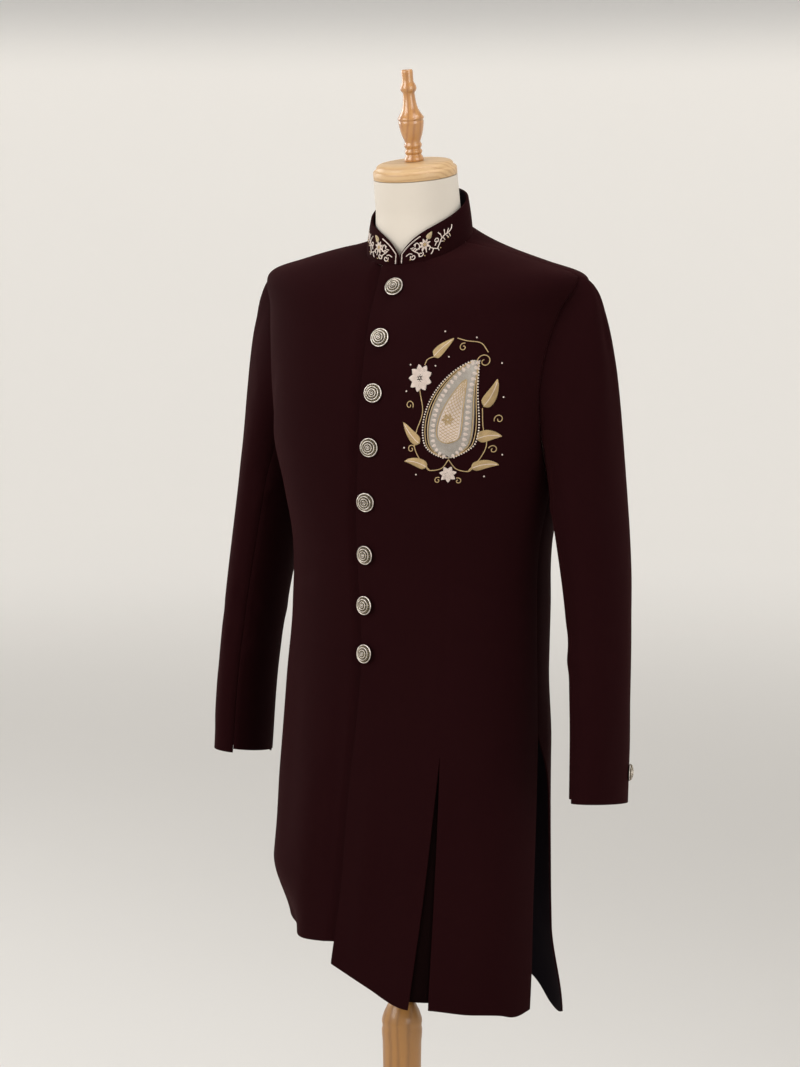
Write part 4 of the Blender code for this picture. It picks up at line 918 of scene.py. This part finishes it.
def chest_work():
    """The thread work on the left chest: one large paisley among leaves, flowers and vines."""
    surface = on_chest
    shapes = {row[0]: row[1:] for row in CHEST_LEAVES[1]}
    paisley = shapes.pop("chest_paisley")
    silver = MATERIALS["silver_thread"]
    cream = MATERIALS["cream_thread"]
    gold = MATERIALS["gold_thread"]
    padding("chest_paisley_pad", surface, (paisley,), 0.0011, silver, ())
    ground = satin(surface, paisley, 0.00105, 0.060, 0.0013, reach=0.86)
    pieces = [strands("chest_paisley_ground", ground, 0.00055, silver, ("chest_paisley",))]

    heart = (tuple(leaf_place(paisley, 0.14, 0.0)), tuple(leaf_place(paisley, 0.36, 0.16)),
             tuple(leaf_place(paisley, 0.80, -0.10)), 0.0125)
    heart_lines = satin(lambda u, v, lift: surface(u, v, lift + 0.0012), heart, 0.0009, -0.05, 0.0010, reach=0.94)
    pieces.append(strands("chest_paisley_heart", heart_lines, 0.0005, cream, ()))

    raised = lambda u, v, lift: surface(u, v, lift + 0.0018)
    lattice = satin(raised, heart, 0.0040, 0.11, 0.0010, reach=0.86) + satin(raised, heart, 0.0040, -0.11, 0.0010, reach=0.86)
    pieces.append(strands("chest_paisley_lattice", lattice, 0.00034, gold, ()))
    band = along_path(leaf_outline(paisley, 0.70, 70), 0.0058)
    heading = unit(np.gradient(band, axis=0))
    buds = []
    for (u, v), (du, dv) in zip(band[1:-1], heading[1:-1]):
        out = np.array((u + 0.0023 * dv, v - 0.0023 * du))
        inside = np.array((u - 0.0026 * dv, v + 0.0026 * du))
        buds += satin(lambda a, b, lift: surface(a, b, lift + 0.0010), (inside, (inside + out) / 2, out, 0.0017), 0.0007, 0.05, 0.0007)
    pieces.append(strands("chest_paisley_band", buds, 0.00040, cream, ()))

    rim = leaf_outline(paisley, 0.92, 70)
    rope = [over(surface, rim, 0.0011)]
    rope.append(over(surface, leaf_outline(heart, 1.06, 44), 0.0021))
    rope.append(over(surface, leaf_outline(paisley, 1.06, 70), 0.0007))
    tip = np.array(paisley[2])
    rope.append(over(surface, curl_path(tip + (0.0072, -0.0006), 0.0074, 0.0016, 172.0, -430.0, 34), 0.0009))
    stems = (
        ((0.000, -0.052), (-0.008, -0.063), (-0.022, -0.066), (-0.027, -0.062)),
        ((0.000, -0.052), (0.009, -0.063), (0.022, -0.066), (0.027, -0.062)),
        ((-0.022, -0.066), (-0.036, -0.052), (-0.043, -0.036), (-0.040, -0.020), (-0.032, 0.002), (-0.036, 0.026)),
        ((0.022, -0.066), (0.034, -0.050), (0.040, -0.034), (0.036, -0.016), (0.035, 0.004)),
        ((-0.030, 0.054), (-0.026, 0.060), (-0.018, 0.062)),
        ((0.041, 0.060), (0.034, 0.070), (0.020, 0.074), (0.010, 0.078)))
    for stem in stems:
        rope.append(over(surface, smooth_path(stem, 9 * len(stem)), 0.0007))
    curls = (
        ((-0.047, -0.041), 0.0052, 0.0012, 20.0, 400.0), ((0.047, -0.040), 0.0050, 0.0012, 160.0, -400.0),
        ((-0.050, 0.010), 0.0056, 0.0014, -30.0, 410.0), ((0.052, -0.008), 0.0052, 0.0012, 200.0, -400.0),
        ((-0.012, -0.078), 0.0042, 0.0010, 60.0, 380.0), ((0.012, -0.078), 0.0042, 0.0010, 120.0, -380.0),
        ((0.016, 0.068), 0.0044, 0.0010, 60.0, 400.0))
    for curl in curls:
        rope.append(over(surface, curl_path(*curl, 24), 0.0007))
    pieces.append(strands("chest_gold_cord", rope, 0.00062, gold, ()))

    names = sorted(shapes)
    padding("chest_leaf_pads", surface, [shapes[name] for name in names], 0.0007, gold, ())
    blades = [line for name in names for line in satin(surface, shapes[name], 0.00085, 0.10, 0.0010)]
    pieces.append(strands("chest_leaves", blades, 0.00046, gold, names))
    veins = [over(surface, leaf_place(shapes[name], np.linspace(0.04, 0.92, 12), np.zeros(12)), 0.0017) for name in names]
    pieces.append(strands("chest_leaf_veins", veins, 0.0004, cream, ()))

    petals = []
    hearts = []
    for (name, u, v, radius), count in zip(CHEST_FLOWERS[1], (9, 7)):
        for number in range(count):
            turn = 2 * math.pi * number / count + 0.3
            petals.append(petal((u, v), turn, 0.24 * radius, 1.02 * radius, 0.30 * radius))
        hearts.extend((u, v, 0.13 * radius * ring, turn) for ring in (0, 1) for turn in range(1 + 5 * ring))
    inner_flower = leaf_place(paisley, 0.37, 0.08)
    blooms = [line for shape in petals for line in satin(surface, shape, 0.0008, 0.05, 0.0011)]
    flowers = [row[0] for row in CHEST_FLOWERS[1]]
    pieces.append(strands("chest_flowers", blooms, 0.00044, cream, flowers))

    inner = []
    for number in range(6):
        turn = math.pi * number / 3
        inner += satin(lambda u, v, lift: surface(u, v, lift + 0.0022), petal(inner_flower, turn, 0.0012, 0.0064, 0.0019),
                       0.0008, 0.05, 0.0006)
    pieces.append(strands("chest_paisley_flower", inner, 0.00042, gold, ()))

    pearl_paths = [along_path(leaf_outline(paisley, 1.17, 70), 0.0030)]
    pearls = [point for path in pearl_paths for point in over(surface, path, 0.0008)]
    for (name, u, v, radius) in CHEST_FLOWERS[1]:
        ring = curl_path((u, v), 0.2 * radius, 0.2 * radius, 0.0, 300.0, 6)
        pearls += list(over(surface, ring, 0.0014))
        pearls += list(over(surface, ((u, v),), 0.0018))
    ring = curl_path(inner_flower, 0.0, 0.0, 0.0, 0.0, 1)
    pearls += list(over(surface, ring, 0.0034))
    dots = ((-0.057, -0.040), (0.057, -0.046), (-0.055, 0.026), (-0.050, 0.056), (-0.016, 0.052), (0.000, 0.060),
            (0.056, 0.014), (0.054, 0.048), (0.030, 0.076), (-0.004, 0.087), (-0.040, -0.072), (0.040, -0.072))
    pearls += list(over(surface, dots, 0.0009))
    pieces.append(beads("chest_beads", pearls, 0.00105, MATERIALS["pearl"], ()))
    return pieces


def on_right_collar(distance, height, lift):
    """Points over the collar's right half, placed by the distance from its end and height."""
    theta = theta_at(COLLAR_MEET_X, NECKLINE) - np.degrees(distance / curve(BODY, "front", NECKLINE)) + 360
    full = COLLAR_END_HEIGHT + COLLAR_RISE * (1 - np.exp(-distance / COLLAR_CORNER))
    share = height / full
    return collar_surface(theta, share) + np.asarray(lift)[..., None] * collar_normal(theta, share)


def collar_border_path():
    """The border line, a little inside the collar's front end and its rising top edge."""
    rise = np.linspace(COLLAR_BORDER_INSET, 0.027, 34)
    full = COLLAR_END_HEIGHT + COLLAR_RISE * (1 - np.exp(-rise / COLLAR_CORNER)) - COLLAR_BORDER_INSET
    foot = np.stack((np.full(5, COLLAR_BORDER_INSET), np.linspace(0.1, 0.85, 5) * full[0]), axis=-1)
    return np.concatenate((foot, np.stack((rise, full), axis=-1)))


def collar_work():
    """The sprigs on the two collar ends: a beaded border, curls, a flower, a bud and a vine."""
    pieces = []
    lilac = MATERIALS["cream_thread"]
    gold = MATERIALS["gold_thread"]
    for half, surface in (("left", on_collar), ("right", on_right_collar)):
        lift = 0.0009
        border = along_path(collar_border_path(), 0.00165)
        pieces.append(beads(f"collar_{half}_border", over(surface, border, 0.0010), 0.00080, MATERIALS["pearl"],
                            (f"collar_border_{half}",)))
        cord = [over(surface, curl_path(*curl, 22), lift) for curl in COLLAR_CURLS]
        cord += [over(surface, smooth_path(stem, 8 * len(stem)), lift) for stem in COLLAR_STEMS]
        for u, v, turn, length in COLLAR_SPRIGS[1]:
            way = np.array((math.cos(math.radians(turn)), math.sin(math.radians(turn))))
            cord.append(over(surface, [np.array((u, v)) + way * length * part for part in (0, 0.33, 0.67, 1)], lift))
        pieces.append(strands(f"collar_{half}_vine", cord, 0.00062, lilac, ()))
        flower = []
        for number in range(8):
            turn = 2 * math.pi * (number + 0.35) / 8
            shape = petal(COLLAR_FLOWER[:2], turn, 0.0024, COLLAR_FLOWER[2] * 1.16, 0.00118)
            flower += satin(surface, shape, 0.0007, 0.05, 0.0009)
        pieces.append(strands(f"collar_{half}_flower", flower, 0.00042, lilac, (f"collar_flower_{half}",)))
        bud = satin(surface, COLLAR_BUD, 0.0008, 0.16, 0.0013)
        bud.append(over(surface, leaf_outline(COLLAR_BUD, 1.05, 16), 0.0006))
        pieces.append(strands(f"collar_{half}_bud", bud, 0.00045, MATERIALS["pale_gold"], ()))
        hearts = curl_path(COLLAR_FLOWER[:2], 0.0013, 0.0013, 0.0, 300.0, 6)
        hearts = list(over(surface, hearts, 0.0008)) + list(over(surface, (COLLAR_FLOWER[:2],), 0.0013))
        hearts += list(over(surface, COLLAR_BERRIES, 0.0010))
        pieces.append(beads(f"collar_{half}_beads", hearts, 0.0009, gold, ()))
    return pieces


def placed(bm, verts, place, facing):
    """Turn some of a mesh's vertices from +Z to face a direction and set them in place."""
    turn = Vector((0, 0, 1)).rotation_difference(Vector(facing)).to_matrix().to_4x4()
    bmesh.ops.transform(bm, matrix=Matrix.Translation(Vector(place)) @ turn, verts=verts)


def spin_profile(bm, rows, segments):
    """Spin a profile of radii and heights about +Z into a closed solid."""
    points = [(0.0, rows[0][1])] + list(rows) + [(0.0, rows[-1][1])]
    verts = [bm.verts.new((radius, 0, height)) for radius, height in points]
    edges = [bm.edges.new(pair) for pair in zip(verts, verts[1:])]
    bmesh.ops.spin(bm, geom=verts + edges, cent=(0, 0, 0), axis=(0, 0, 1), angle=2 * math.pi,
                   steps=segments, use_merge=True)
    bmesh.ops.remove_doubles(bm, verts=bm.verts, dist=0.00001)
    bmesh.ops.recalc_face_normals(bm, faces=bm.faces)


def turned(name, profile, place, facing, finish, node, slot, segments=72):
    """A turned piece: a fine profile spun about its axis."""
    bm = bmesh.new()
    spin_profile(bm, profile[1], segments)
    placed(bm, bm.verts, place, facing)
    thing = finish_piece(name, bm, (finish,), (node,), 0)
    thing.data.set_sharp_from_angle(angle=math.radians(50))
    return thing


def wire_ring(bm, radius, height, wire, segments=40, sides=8):
    """A ring of round wire about +Z."""
    made = bmesh.ops.create_circle(bm, segments=sides, radius=wire)
    stand = Matrix.Translation((radius, 0, height)) @ Matrix.Rotation(math.pi / 2, 4, "X")
    bmesh.ops.transform(bm, matrix=stand, verts=made["verts"])
    edges = list({edge for vert in made["verts"] for edge in vert.link_edges})
    bmesh.ops.spin(bm, geom=made["verts"] + edges, cent=(0, 0, 0), axis=(0, 0, 1), angle=2 * math.pi,
                   steps=segments, use_merge=True)


def dressed_button(name, radius, height, place, facing, node):
    """A domed button of coiled silver wire, with olive dashes between its rings."""
    bm = bmesh.new()
    dome = [(radius * r, height * h) for r, h in ((0.86, 0.00), (0.93, 0.10), (0.94, 0.26), (0.86, 0.44), (0.70, 0.66),
                                                  (0.50, 0.80), (0.28, 0.90))]
    spin_profile(bm, dome, 32)
    ground = len(bm.faces)
    for ring, lift, wire in BUTTON_RINGS[1]:
        wire_ring(bm, radius * ring, height * lift, radius * wire)
    bmesh.ops.create_icosphere(bm, subdivisions=2, radius=0.085 * radius, matrix=Matrix.Translation((0, 0, height * 0.98)))
    silver = len(bm.faces)
    for ring, lift, count, length, width in BUTTON_DASHES[1]:
        for number in range(count):
            turn = Matrix.Rotation(2 * math.pi * number / count, 4, "Z")
            shape = Matrix.Diagonal((width * radius, length * radius, width * radius, 1))
            move = Matrix.Translation((radius * ring, 0, height * lift))
            bmesh.ops.create_icosphere(bm, subdivisions=1, radius=1.0, matrix=turn @ move @ shape)
    bm.faces.ensure_lookup_table()
    for index, face in enumerate(bm.faces):
        face.material_index = 0 if index < ground else 1 if index < silver else 2
    bmesh.ops.remove_doubles(bm, verts=bm.verts, dist=0.00001)
    bmesh.ops.recalc_face_normals(bm, faces=bm.faces)
    placed(bm, bm.verts, place, facing)
    finishes = (MATERIALS["button_ground"], MATERIALS["wire_silver"], MATERIALS["olive_gold"])
    return finish_piece(name, bm, finishes, (node,), 0)


def buttons():
    for number, (z, x, swing) in enumerate(BUTTONS[1], 1):
        theta = theta_at(x, z)
        normal = body_normal(theta, z)
        swung = math.radians(swing)
        place = body_surface(theta, z) + (LIFT + SWUNG_LIFT * BUTTON_RADIUS * math.sin(abs(swung))) * normal
        facing = Matrix.Rotation(swung, 3, "Z") @ Vector(normal)
        dressed_button(f"front_button_{number}", BUTTON_RADIUS, BUTTON_HEIGHT, place, facing, f"button_{number}")
    turn = 180 + 32
    along = 1 + (BICEP - CUFF_BUTTON_Z) / (BICEP - cuff_level(turn, CUFF_TOP_PIECE))
    normal = sleeve_normal(turn, along, CUFF_TOP_PIECE)
    place = sleeve_surface(turn, along, CUFF_TOP_PIECE) + LIFT * normal
    for side, mirror in (("left", (1, 1, 1)), ("right", (-1, 1, 1))):
        dressed_button(f"cuff_{side}_button", CUFF_BUTTON_RADIUS, 0.8 * BUTTON_HEIGHT, place * mirror, normal * mirror,
                       f"cuff_button_{side}")


def form_body():
    """The jersey form: closed rings under the coat that draw in to the leaning neck."""
    theta = np.linspace(0, 360, 145)
    levels = np.concatenate((np.linspace(FORM_BOTTOM, SHOULDER_TIP, 60), np.linspace(SHOULDER_TIP, NECKLINE, 26)[1:-1]))
    rings = []
    for level in levels:
        at = level + 0 * theta
        rings.append(body_surface(theta, at) - form_inset(theta, at)[:, None] * body_normal(theta, at))
    rings[0][:, 2] = FORM_BOTTOM
    radial = np.stack((np.sin(np.radians(theta)), -np.cos(np.radians(theta)), 0 * theta), axis=-1)
    foot_ring = body_surface(theta, NECKLINE + 0 * theta) - NECK_CLEAR * radial - np.array((0, 0, NECK_SINK))
    top, axis = neck_frame()
    ring_x = np.stack((np.sin(np.radians(theta)), -np.cos(np.radians(theta)) * math.cos(NECK_LEAN),
                       -np.cos(np.radians(theta)) * math.sin(NECK_LEAN)), axis=-1)
    neck = [top - axis * below + radius * ring_x for below, radius in ((0.040, 0.0532), (0.020, 0.0528), (0.0, NECK_RADIUS))]
    knots = [foot_ring] + neck
    for share in np.linspace(0, 1, 9)[:-1]:
        rings.append(foot_ring + (neck[0] - foot_ring) * share)
    for start, end in zip(neck, neck[1:]):
        rings.extend(start + (end - start) * share for share in np.linspace(0, 1, 5)[:-1])
    rings.append(neck[-1])
    points = np.array(rings)
    bm = bmesh.new()
    lay_grid(bm, points)
    bmesh.ops.remove_doubles(bm, verts=bm.verts, dist=0.00001)
    ends = [edge for edge in bm.edges if edge.is_boundary]
    caps = bmesh.ops.edgeloop_fill(bm, edges=ends)["faces"]
    bmesh.ops.inset_region(bm, faces=caps, thickness=0.004)
    bmesh.ops.recalc_face_normals(bm, faces=bm.faces)
    thing = finish_piece("form_jersey_body", bm, (MATERIALS["jersey"],), ("form_body",), 0)
    thing.data.set_sharp_from_angle(angle=math.radians(50))
    return thing


def stand():
    up = (0, 0, 1)
    top, axis = neck_frame()
    foot = top + SEAM * axis
    turned("form_neck_cap", CAP_TURNING, foot, axis, MATERIALS["pine"], "neck_cap", "pale_pine", 96)
    seat = foot + (CAP_TURNING[1][-1][1] + SEAM) * axis
    turned("form_finial", FINIAL_TURNING, seat, axis, MATERIALS["varnished"], "finial", "orange_wood", 64)
    turned("stand_round_base", BASE_TURNING, (0, 0, 0), up, MATERIALS["golden"], "stand_base", "golden_wood", 128)
    turned("stand_turned_pole", POLE_TURNING, (0, 0, 0), up, MATERIALS["golden"], "stand_pole", "golden_wood", 72)
    ends = (POLE_TOP + SEAM, FORM_BOTTOM - SEAM)
    rod = (("radius", "height"), ((ROD_RADIUS - 0.0006, ends[0]), (ROD_RADIUS, ends[0] + 0.0006),
                                  (ROD_RADIUS, ends[1] - 0.0006), (ROD_RADIUS - 0.0006, ends[1])))
    turned("stand_steel_rod", rod, (0, 0, 0), up, MATERIALS["steel"], "stand_rod", "rod_steel", 48)


class Wire:
    """A socket in a material's nodes. Sums on it add Math nodes, and node() adds any other."""

    def __init__(self, tree, socket=None):
        self.tree = tree
        self.socket = socket

    def node(self, kind, settings=None, sockets=None, output=0):
        made = self.tree.nodes.new("ShaderNode" + kind)
        for name, value in (settings or {}).items():
            if name == "stops":
                stops = made.color_ramp.elements
                while len(stops) < len(value):
                    stops.new(1.0)
                for stop, (position, colour) in zip(stops, value):
                    stop.position = position
                    stop.color = (*colour, 1.0)
            else:
                setattr(made, name, value)
        for name, value in (sockets or {}).items():
            if isinstance(value, Wire):
                self.tree.links.new(value.socket, made.inputs[name])
            elif isinstance(value, tuple) and len(value) == 3 and made.inputs[name].type == "RGBA":
                made.inputs[name].default_value = (*value, 1.0)
            else:
                made.inputs[name].default_value = value
        return Wire(self.tree, made.outputs[output])

    def maths(self, operation, first, second=0.0):
        return self.node("Math", {"operation": operation}, {0: first, 1: second})

    def __add__(self, other):
        return self.maths("ADD", self, other)

    def __radd__(self, other):
        return self.maths("ADD", other, self)

    def __sub__(self, other):
        return self.maths("SUBTRACT", self, other)

    def __rsub__(self, other):
        return self.maths("SUBTRACT", other, self)

    def __mul__(self, other):
        return self.maths("MULTIPLY", self, other)

    def __rmul__(self, other):
        return self.maths("MULTIPLY", other, self)

    def __pow__(self, other):
        return self.maths("POWER", self, other)


def mix(wire, share, first, second):
    """Blend two colours by a share from 0 to 1."""
    return wire.node("Mix", {"data_type": "RGBA"}, {"Factor": share, 6: first, 7: second}, 2)


def noise(wire, place, scale, detail=3.0, roughness=0.5, distortion=0.0):
    sockets = {"Vector": place, "Scale": scale, "Detail": detail, "Roughness": roughness, "Distortion": distortion}
    return wire.node("TexNoise", {"noise_dimensions": "3D"}, sockets)


def object_place(wire):
    return wire.node("TexCoord", output=3)


def cloth_place(wire):
    return wire.node("TexCoord", output=2)


def stretched(wire, place, scale, turn=(0.0, 0.0, 0.0), move=(0.0, 0.0, 0.0)):
    return wire.node("Mapping", None, {"Vector": place, "Scale": scale, "Rotation": turn, "Location": move})


def finish_of(name, build):
    """A material: build gives a dictionary of the shader's sockets, and a height with its depth in metres."""
    made = bpy.data.materials.new(name)
    made.use_nodes = True
    tree = made.node_tree
    shader = tree.nodes["Principled BSDF"]
    wire = Wire(tree)
    sockets, height, depth = build(wire)
    for socket, value in sockets.items():
        if isinstance(value, Wire):
            tree.links.new(value.socket, shader.inputs[socket])
        elif isinstance(value, tuple) and len(value) == 3:
            shader.inputs[socket].default_value = (*value, 1.0)
        else:
            shader.inputs[socket].default_value = value
    if height is not None:
        bump = wire.node("Bump", None, {"Height": height, "Distance": depth, "Strength": 1.0})
        tree.links.new(bump.socket, shader.inputs["Normal"])
    MATERIALS[name] = made


def suiting(dark, light, sheen):
    """Fine worsted twill: slanting ribs, uneven yarn and a soft cloudiness."""
    def build(wire):
        place = cloth_place(wire)
        parts = wire.node("SeparateXYZ", None, {0: place})
        across = parts
        upward = Wire(wire.tree, parts.socket.node.outputs[1])
        rib = wire.maths("SINE", (across + upward * 0.62) * (2 * math.pi / 0.0011)) * 0.5 + 0.5
        yarn = noise(wire, stretched(wire, place, (900.0, 2200.0, 1.0)), 1.0, 2.0)
        cloud = noise(wire, object_place(wire), 9.0, 4.0, 0.6)
        fuzz = noise(wire, object_place(wire), 700.0, 2.0)
        share = rib * 0.30 + yarn * 0.35 + cloud * 0.35
        colour = mix(wire, share, dark, light)
        roughness = 0.86 - fuzz * 0.10
        sockets = {"Base Color": colour, "Roughness": roughness, "Specular IOR Level": 0.02,
                   "Specular Tint": SHEEN_WINE, "Sheen Weight": sheen, "Sheen Roughness": 0.42,
                   "Sheen Tint": SHEEN_WINE}
        return sockets, rib * 0.5 + yarn * 0.5, 0.00014
    return build


def thread(light, shade, metallic, roughness):
    """Floss or metal thread: a bright strand with fine twisted plies and darker patches."""
    def build(wire):
        place = object_place(wire)
        ply = wire.maths("SINE", noise(wire, place, 620.0, 2.0) * 40.0) * 0.5 + 0.5
        tone = noise(wire, place, 140.0, 3.0)
        colour = mix(wire, ply * 0.35 + tone * 0.65, shade, light)
        return {"Base Color": colour, "Roughness": roughness - ply * 0.12, "Metallic": metallic,
                "Specular IOR Level": 0.45, "Sheen Weight": 0.0}, ply, 0.00012
    return build


def metal(light, shade, roughness, metallic=1.0):
    """Polished wire with fine turns along it and patches of tarnish."""
    def build(wire):
        place = object_place(wire)
        tarnish = noise(wire, place, 240.0, 3.0, 0.6)
        turns = noise(wire, place, 1500.0, 2.0)
        colour = mix(wire, wire.node("MapRange", None, {0: tarnish, 1: 0.34, 2: 0.60}), shade, light)
        return {"Base Color": colour, "Roughness": roughness + tarnish * 0.18, "Metallic": metallic}, turns, 0.00010
    return build


def jersey(wire):
    """Fine cream knit: upright ribs of small loops, with a faint unevenness."""
    place = cloth_place(wire)
    parts = wire.node("SeparateXYZ", None, {0: place})
    upward = Wire(wire.tree, parts.socket.node.outputs[1])
    wale = wire.maths("SINE", parts * (2 * math.pi / 0.0013)) * 0.5 + 0.5
    course = wire.maths("SINE", upward * (2 * math.pi / 0.0010)) * 0.5 + 0.5
    loops = wale * 0.65 + course * 0.35
    cloud = noise(wire, object_place(wire), 14.0, 3.0)
    colour = mix(wire, loops * 0.35 + cloud * 0.65, JERSEY_SHADE, JERSEY)
    return {"Base Color": colour, "Roughness": 0.92 - loops * 0.06, "Specular IOR Level": 0.2,
            "Sheen Weight": 0.12, "Sheen Roughness": 0.5}, loops, 0.00010


def wood(light, line, scale, rings, varnish, roughness, move=(0.0, 0.0, 0.0)):
    """Wood whose growth rings are cylinders about a far axis, drawn out along the grain."""
    def build(wire):
        place = stretched(wire, object_place(wire), (1.0, 1.0, 1.0), (0.0, 0.0, 0.0), move)
        grain = stretched(wire, place, scale)
        wander = noise(wire, grain, 1.0, 3.0, 0.55)
        squeezed = wire.node("VectorMath", {"operation": "MULTIPLY"}, {0: place, 1: rings[1]})
        distance = wire.node("VectorMath", {"operation": "LENGTH"}, {0: squeezed}, 1)
        ring = wire.maths("SINE", distance * (2 * math.pi / rings[0]) + wander * 7.0) * 0.5 + 0.5
        late = ring ** 3.0
        fibre = noise(wire, stretched(wire, place, tuple(14.0 * part for part in scale)), 1.0, 2.0)
        colour = mix(wire, late * 0.55 + fibre * 0.40, light, line)
        return {"Base Color": colour, "Roughness": roughness + fibre * 0.12, "Coat Weight": varnish,
                "Coat Roughness": 0.12}, fibre * 0.6 + late * 0.4, 0.00008
    return build


def steel(wire):
    brushed = noise(wire, stretched(wire, object_place(wire), (60.0, 60.0, 900.0)), 1.0, 2.0)
    colour = mix(wire, brushed, (0.36, 0.36, 0.37), STEEL)
    return {"Base Color": colour, "Roughness": 0.28 + brushed * 0.16, "Metallic": 1.0}, brushed, 0.00004


def floor_finish(wire):
    """Pale matt paint that glows a little away from the stand, so that all of it looks evenly light."""
    place = object_place(wire)
    cloud = noise(wire, place, 0.8, 3.0)
    distance = wire.node("VectorMath", {"operation": "LENGTH"}, {0: place}, 1)
    far = wire.node("MapRange", {"interpolation_type": "SMOOTHSTEP"}, {0: distance, 1: 1.5, 2: 7.0})
    return {"Base Color": mix(wire, cloud, PALE_FLOOR, tuple(1.04 * part for part in PALE_FLOOR)),
            "Roughness": 0.9, "Specular IOR Level": 0.1, "Emission Strength": WALL_GLOW,
            "Emission Color": mix(wire, far, (0.0, 0.0, 0.0), PALE_FLOOR)}, None, 0.0


def make_materials():
    top = neck_frame()[0]
    finish_of("wine_suiting", suiting(WINE_DARK, WINE_LIGHT, 0.10))
    # Painted shade: the pleat underlay's cloth, darkened and with less sheen in place of the pleat's shadow
    finish_of("wine_painted_shade", suiting(PAINTED_SHADE_DARK, PAINTED_SHADE_LIGHT, 0.02))
    finish_of("wine_inside", suiting(INSIDE_DARK, INSIDE_LIGHT, 0.04))
    finish_of("cream_thread", thread(CREAM, CREAM_SHADE, 0.0, 0.50))
    finish_of("silver_thread", thread(SILVER_PALE, SILVER_GREY, 0.35, 0.45))
    finish_of("gold_thread", thread(GOLD_LIGHT, GOLD_SHADE, 0.55, 0.42))
    finish_of("pale_gold", thread((0.70, 0.58, 0.38), GOLD_SHADE, 0.35, 0.42))
    finish_of("pearl", thread((0.86, 0.76, 0.68), CREAM_SHADE, 0.15, 0.35))
    finish_of("wire_silver", metal(WIRE_SILVER, WIRE_SHADE, 0.26))
    finish_of("olive_gold", metal(OLIVE_GOLD, (0.20, 0.16, 0.08), 0.34))
    finish_of("button_ground", metal(BUTTON_GROUND, (0.03, 0.025, 0.02), 0.50, 0.6))
    finish_of("jersey", jersey)
    finish_of("pine", wood(PINE, PINE_LINE, (8.0, 60.0, 90.0), (0.0062, (0.02, 1.0, 1.0)), 0.15, 0.42,
                           (0.0, 0.030 - top[1], 0.055 - top[2])))
    finish_of("varnished", wood(VARNISHED, VARNISHED_DARK, (90.0, 90.0, 14.0), (0.0080, (1.0, 1.0, 0.06)), 0.9, 0.30,
                                (0.020, 0.010, -1.5)))
    finish_of("golden", wood(GOLDEN, GOLDEN_DARK, (70.0, 70.0, 6.0), (0.0120, (1.0, 1.0, 0.03)), 0.35, 0.40,
                             (0.035, 0.020, -0.2)))
    finish_of("steel", steel)
    finish_of("pale_floor", floor_finish)


def studio():
    """A pale floor that sweeps up into a round wall, soft lamps and the camera."""
    bm = bmesh.new()
    turn = np.radians(np.linspace(0, 90, 10))
    points = [(0.0, 0.0), (8.0, 0.0)] + [(8.0 + 2.5 * math.sin(a), 2.5 - 2.5 * math.cos(a)) for a in turn[1:]] + [(10.5, 7.0)]
    verts = [bm.verts.new((radius, 0, height)) for radius, height in points]
    edges = [bm.edges.new(pair) for pair in zip(verts, verts[1:])]
    bmesh.ops.spin(bm, geom=verts + edges, cent=(0, 0, 0), axis=(0, 0, 1), angle=2 * math.pi, steps=96, use_merge=True)
    bmesh.ops.remove_doubles(bm, verts=bm.verts, dist=0.0001)
    bmesh.ops.recalc_face_normals(bm, faces=bm.faces)
    bmesh.ops.reverse_faces(bm, faces=[face for face in bm.faces if face.normal.z < 0])
    mesh = bpy.data.meshes.new("studio_floor")
    bm.to_mesh(mesh)
    bm.free()
    mesh.shade_smooth()
    floor = bpy.data.objects.new("studio_floor", mesh)
    mesh.materials.append(MATERIALS["pale_floor"])
    bpy.context.scene.collection.objects.link(floor)

    right = Vector((math.cos(CAMERA_AZIMUTH), math.sin(CAMERA_AZIMUTH), 0))
    ahead = Vector((-math.sin(CAMERA_AZIMUTH), math.cos(CAMERA_AZIMUTH), 0))
    target = Vector((0, 0, 1.05))
    for name, sideways, towards, height, size, power in LAMPS[1]:
        data = bpy.data.lights.new(name, "AREA")
        data.shape = "RECTANGLE"
        data.size = size
        data.size_y = 1.3 * size
        data.energy = power
        lamp = bpy.data.objects.new(name, data)
        lamp.location = right * sideways - ahead * towards + Vector((0, 0, height))
        lamp.rotation_mode = "QUATERNION"
        lamp.rotation_quaternion = (target - lamp.location).to_track_quat("-Z", "Y")
        lamp.visible_camera = False
        bpy.context.scene.collection.objects.link(lamp)

    world = bpy.data.worlds.new("studio_air")
    world.use_nodes = True
    world.node_tree.nodes["Background"].inputs["Color"].default_value = (1.0, 0.985, 0.96, 1.0)
    world.node_tree.nodes["Background"].inputs["Strength"].default_value = WORLD_STRENGTH
    bpy.context.scene.world = world

    data = bpy.data.cameras.new("camera")
    data.lens = CAMERA_LENS
    data.sensor_width = 36.0
    data.sensor_fit = "AUTO"
    data.shift_x = CAMERA_SHIFT
    camera = bpy.data.objects.new("camera", data)
    camera.location = (CAMERA_DISTANCE * math.sin(CAMERA_AZIMUTH), -CAMERA_DISTANCE * math.cos(CAMERA_AZIMUTH), CAMERA_HEIGHT)
    camera.rotation_euler = (math.pi / 2 - CAMERA_PITCH, 0, CAMERA_AZIMUTH)
    bpy.context.scene.collection.objects.link(camera)
    bpy.context.scene.camera = camera
    bpy.context.scene.view_settings.view_transform = "Standard"


def main():
    make_materials()
    studio()
    shells = [front_left(), front_right(), pleat_underlay(), *backs(), *sleeves(), collar()]
    chest_work()
    collar_work()
    buttons()
    form_body()
    stand()


MATERIALS = {}
main()
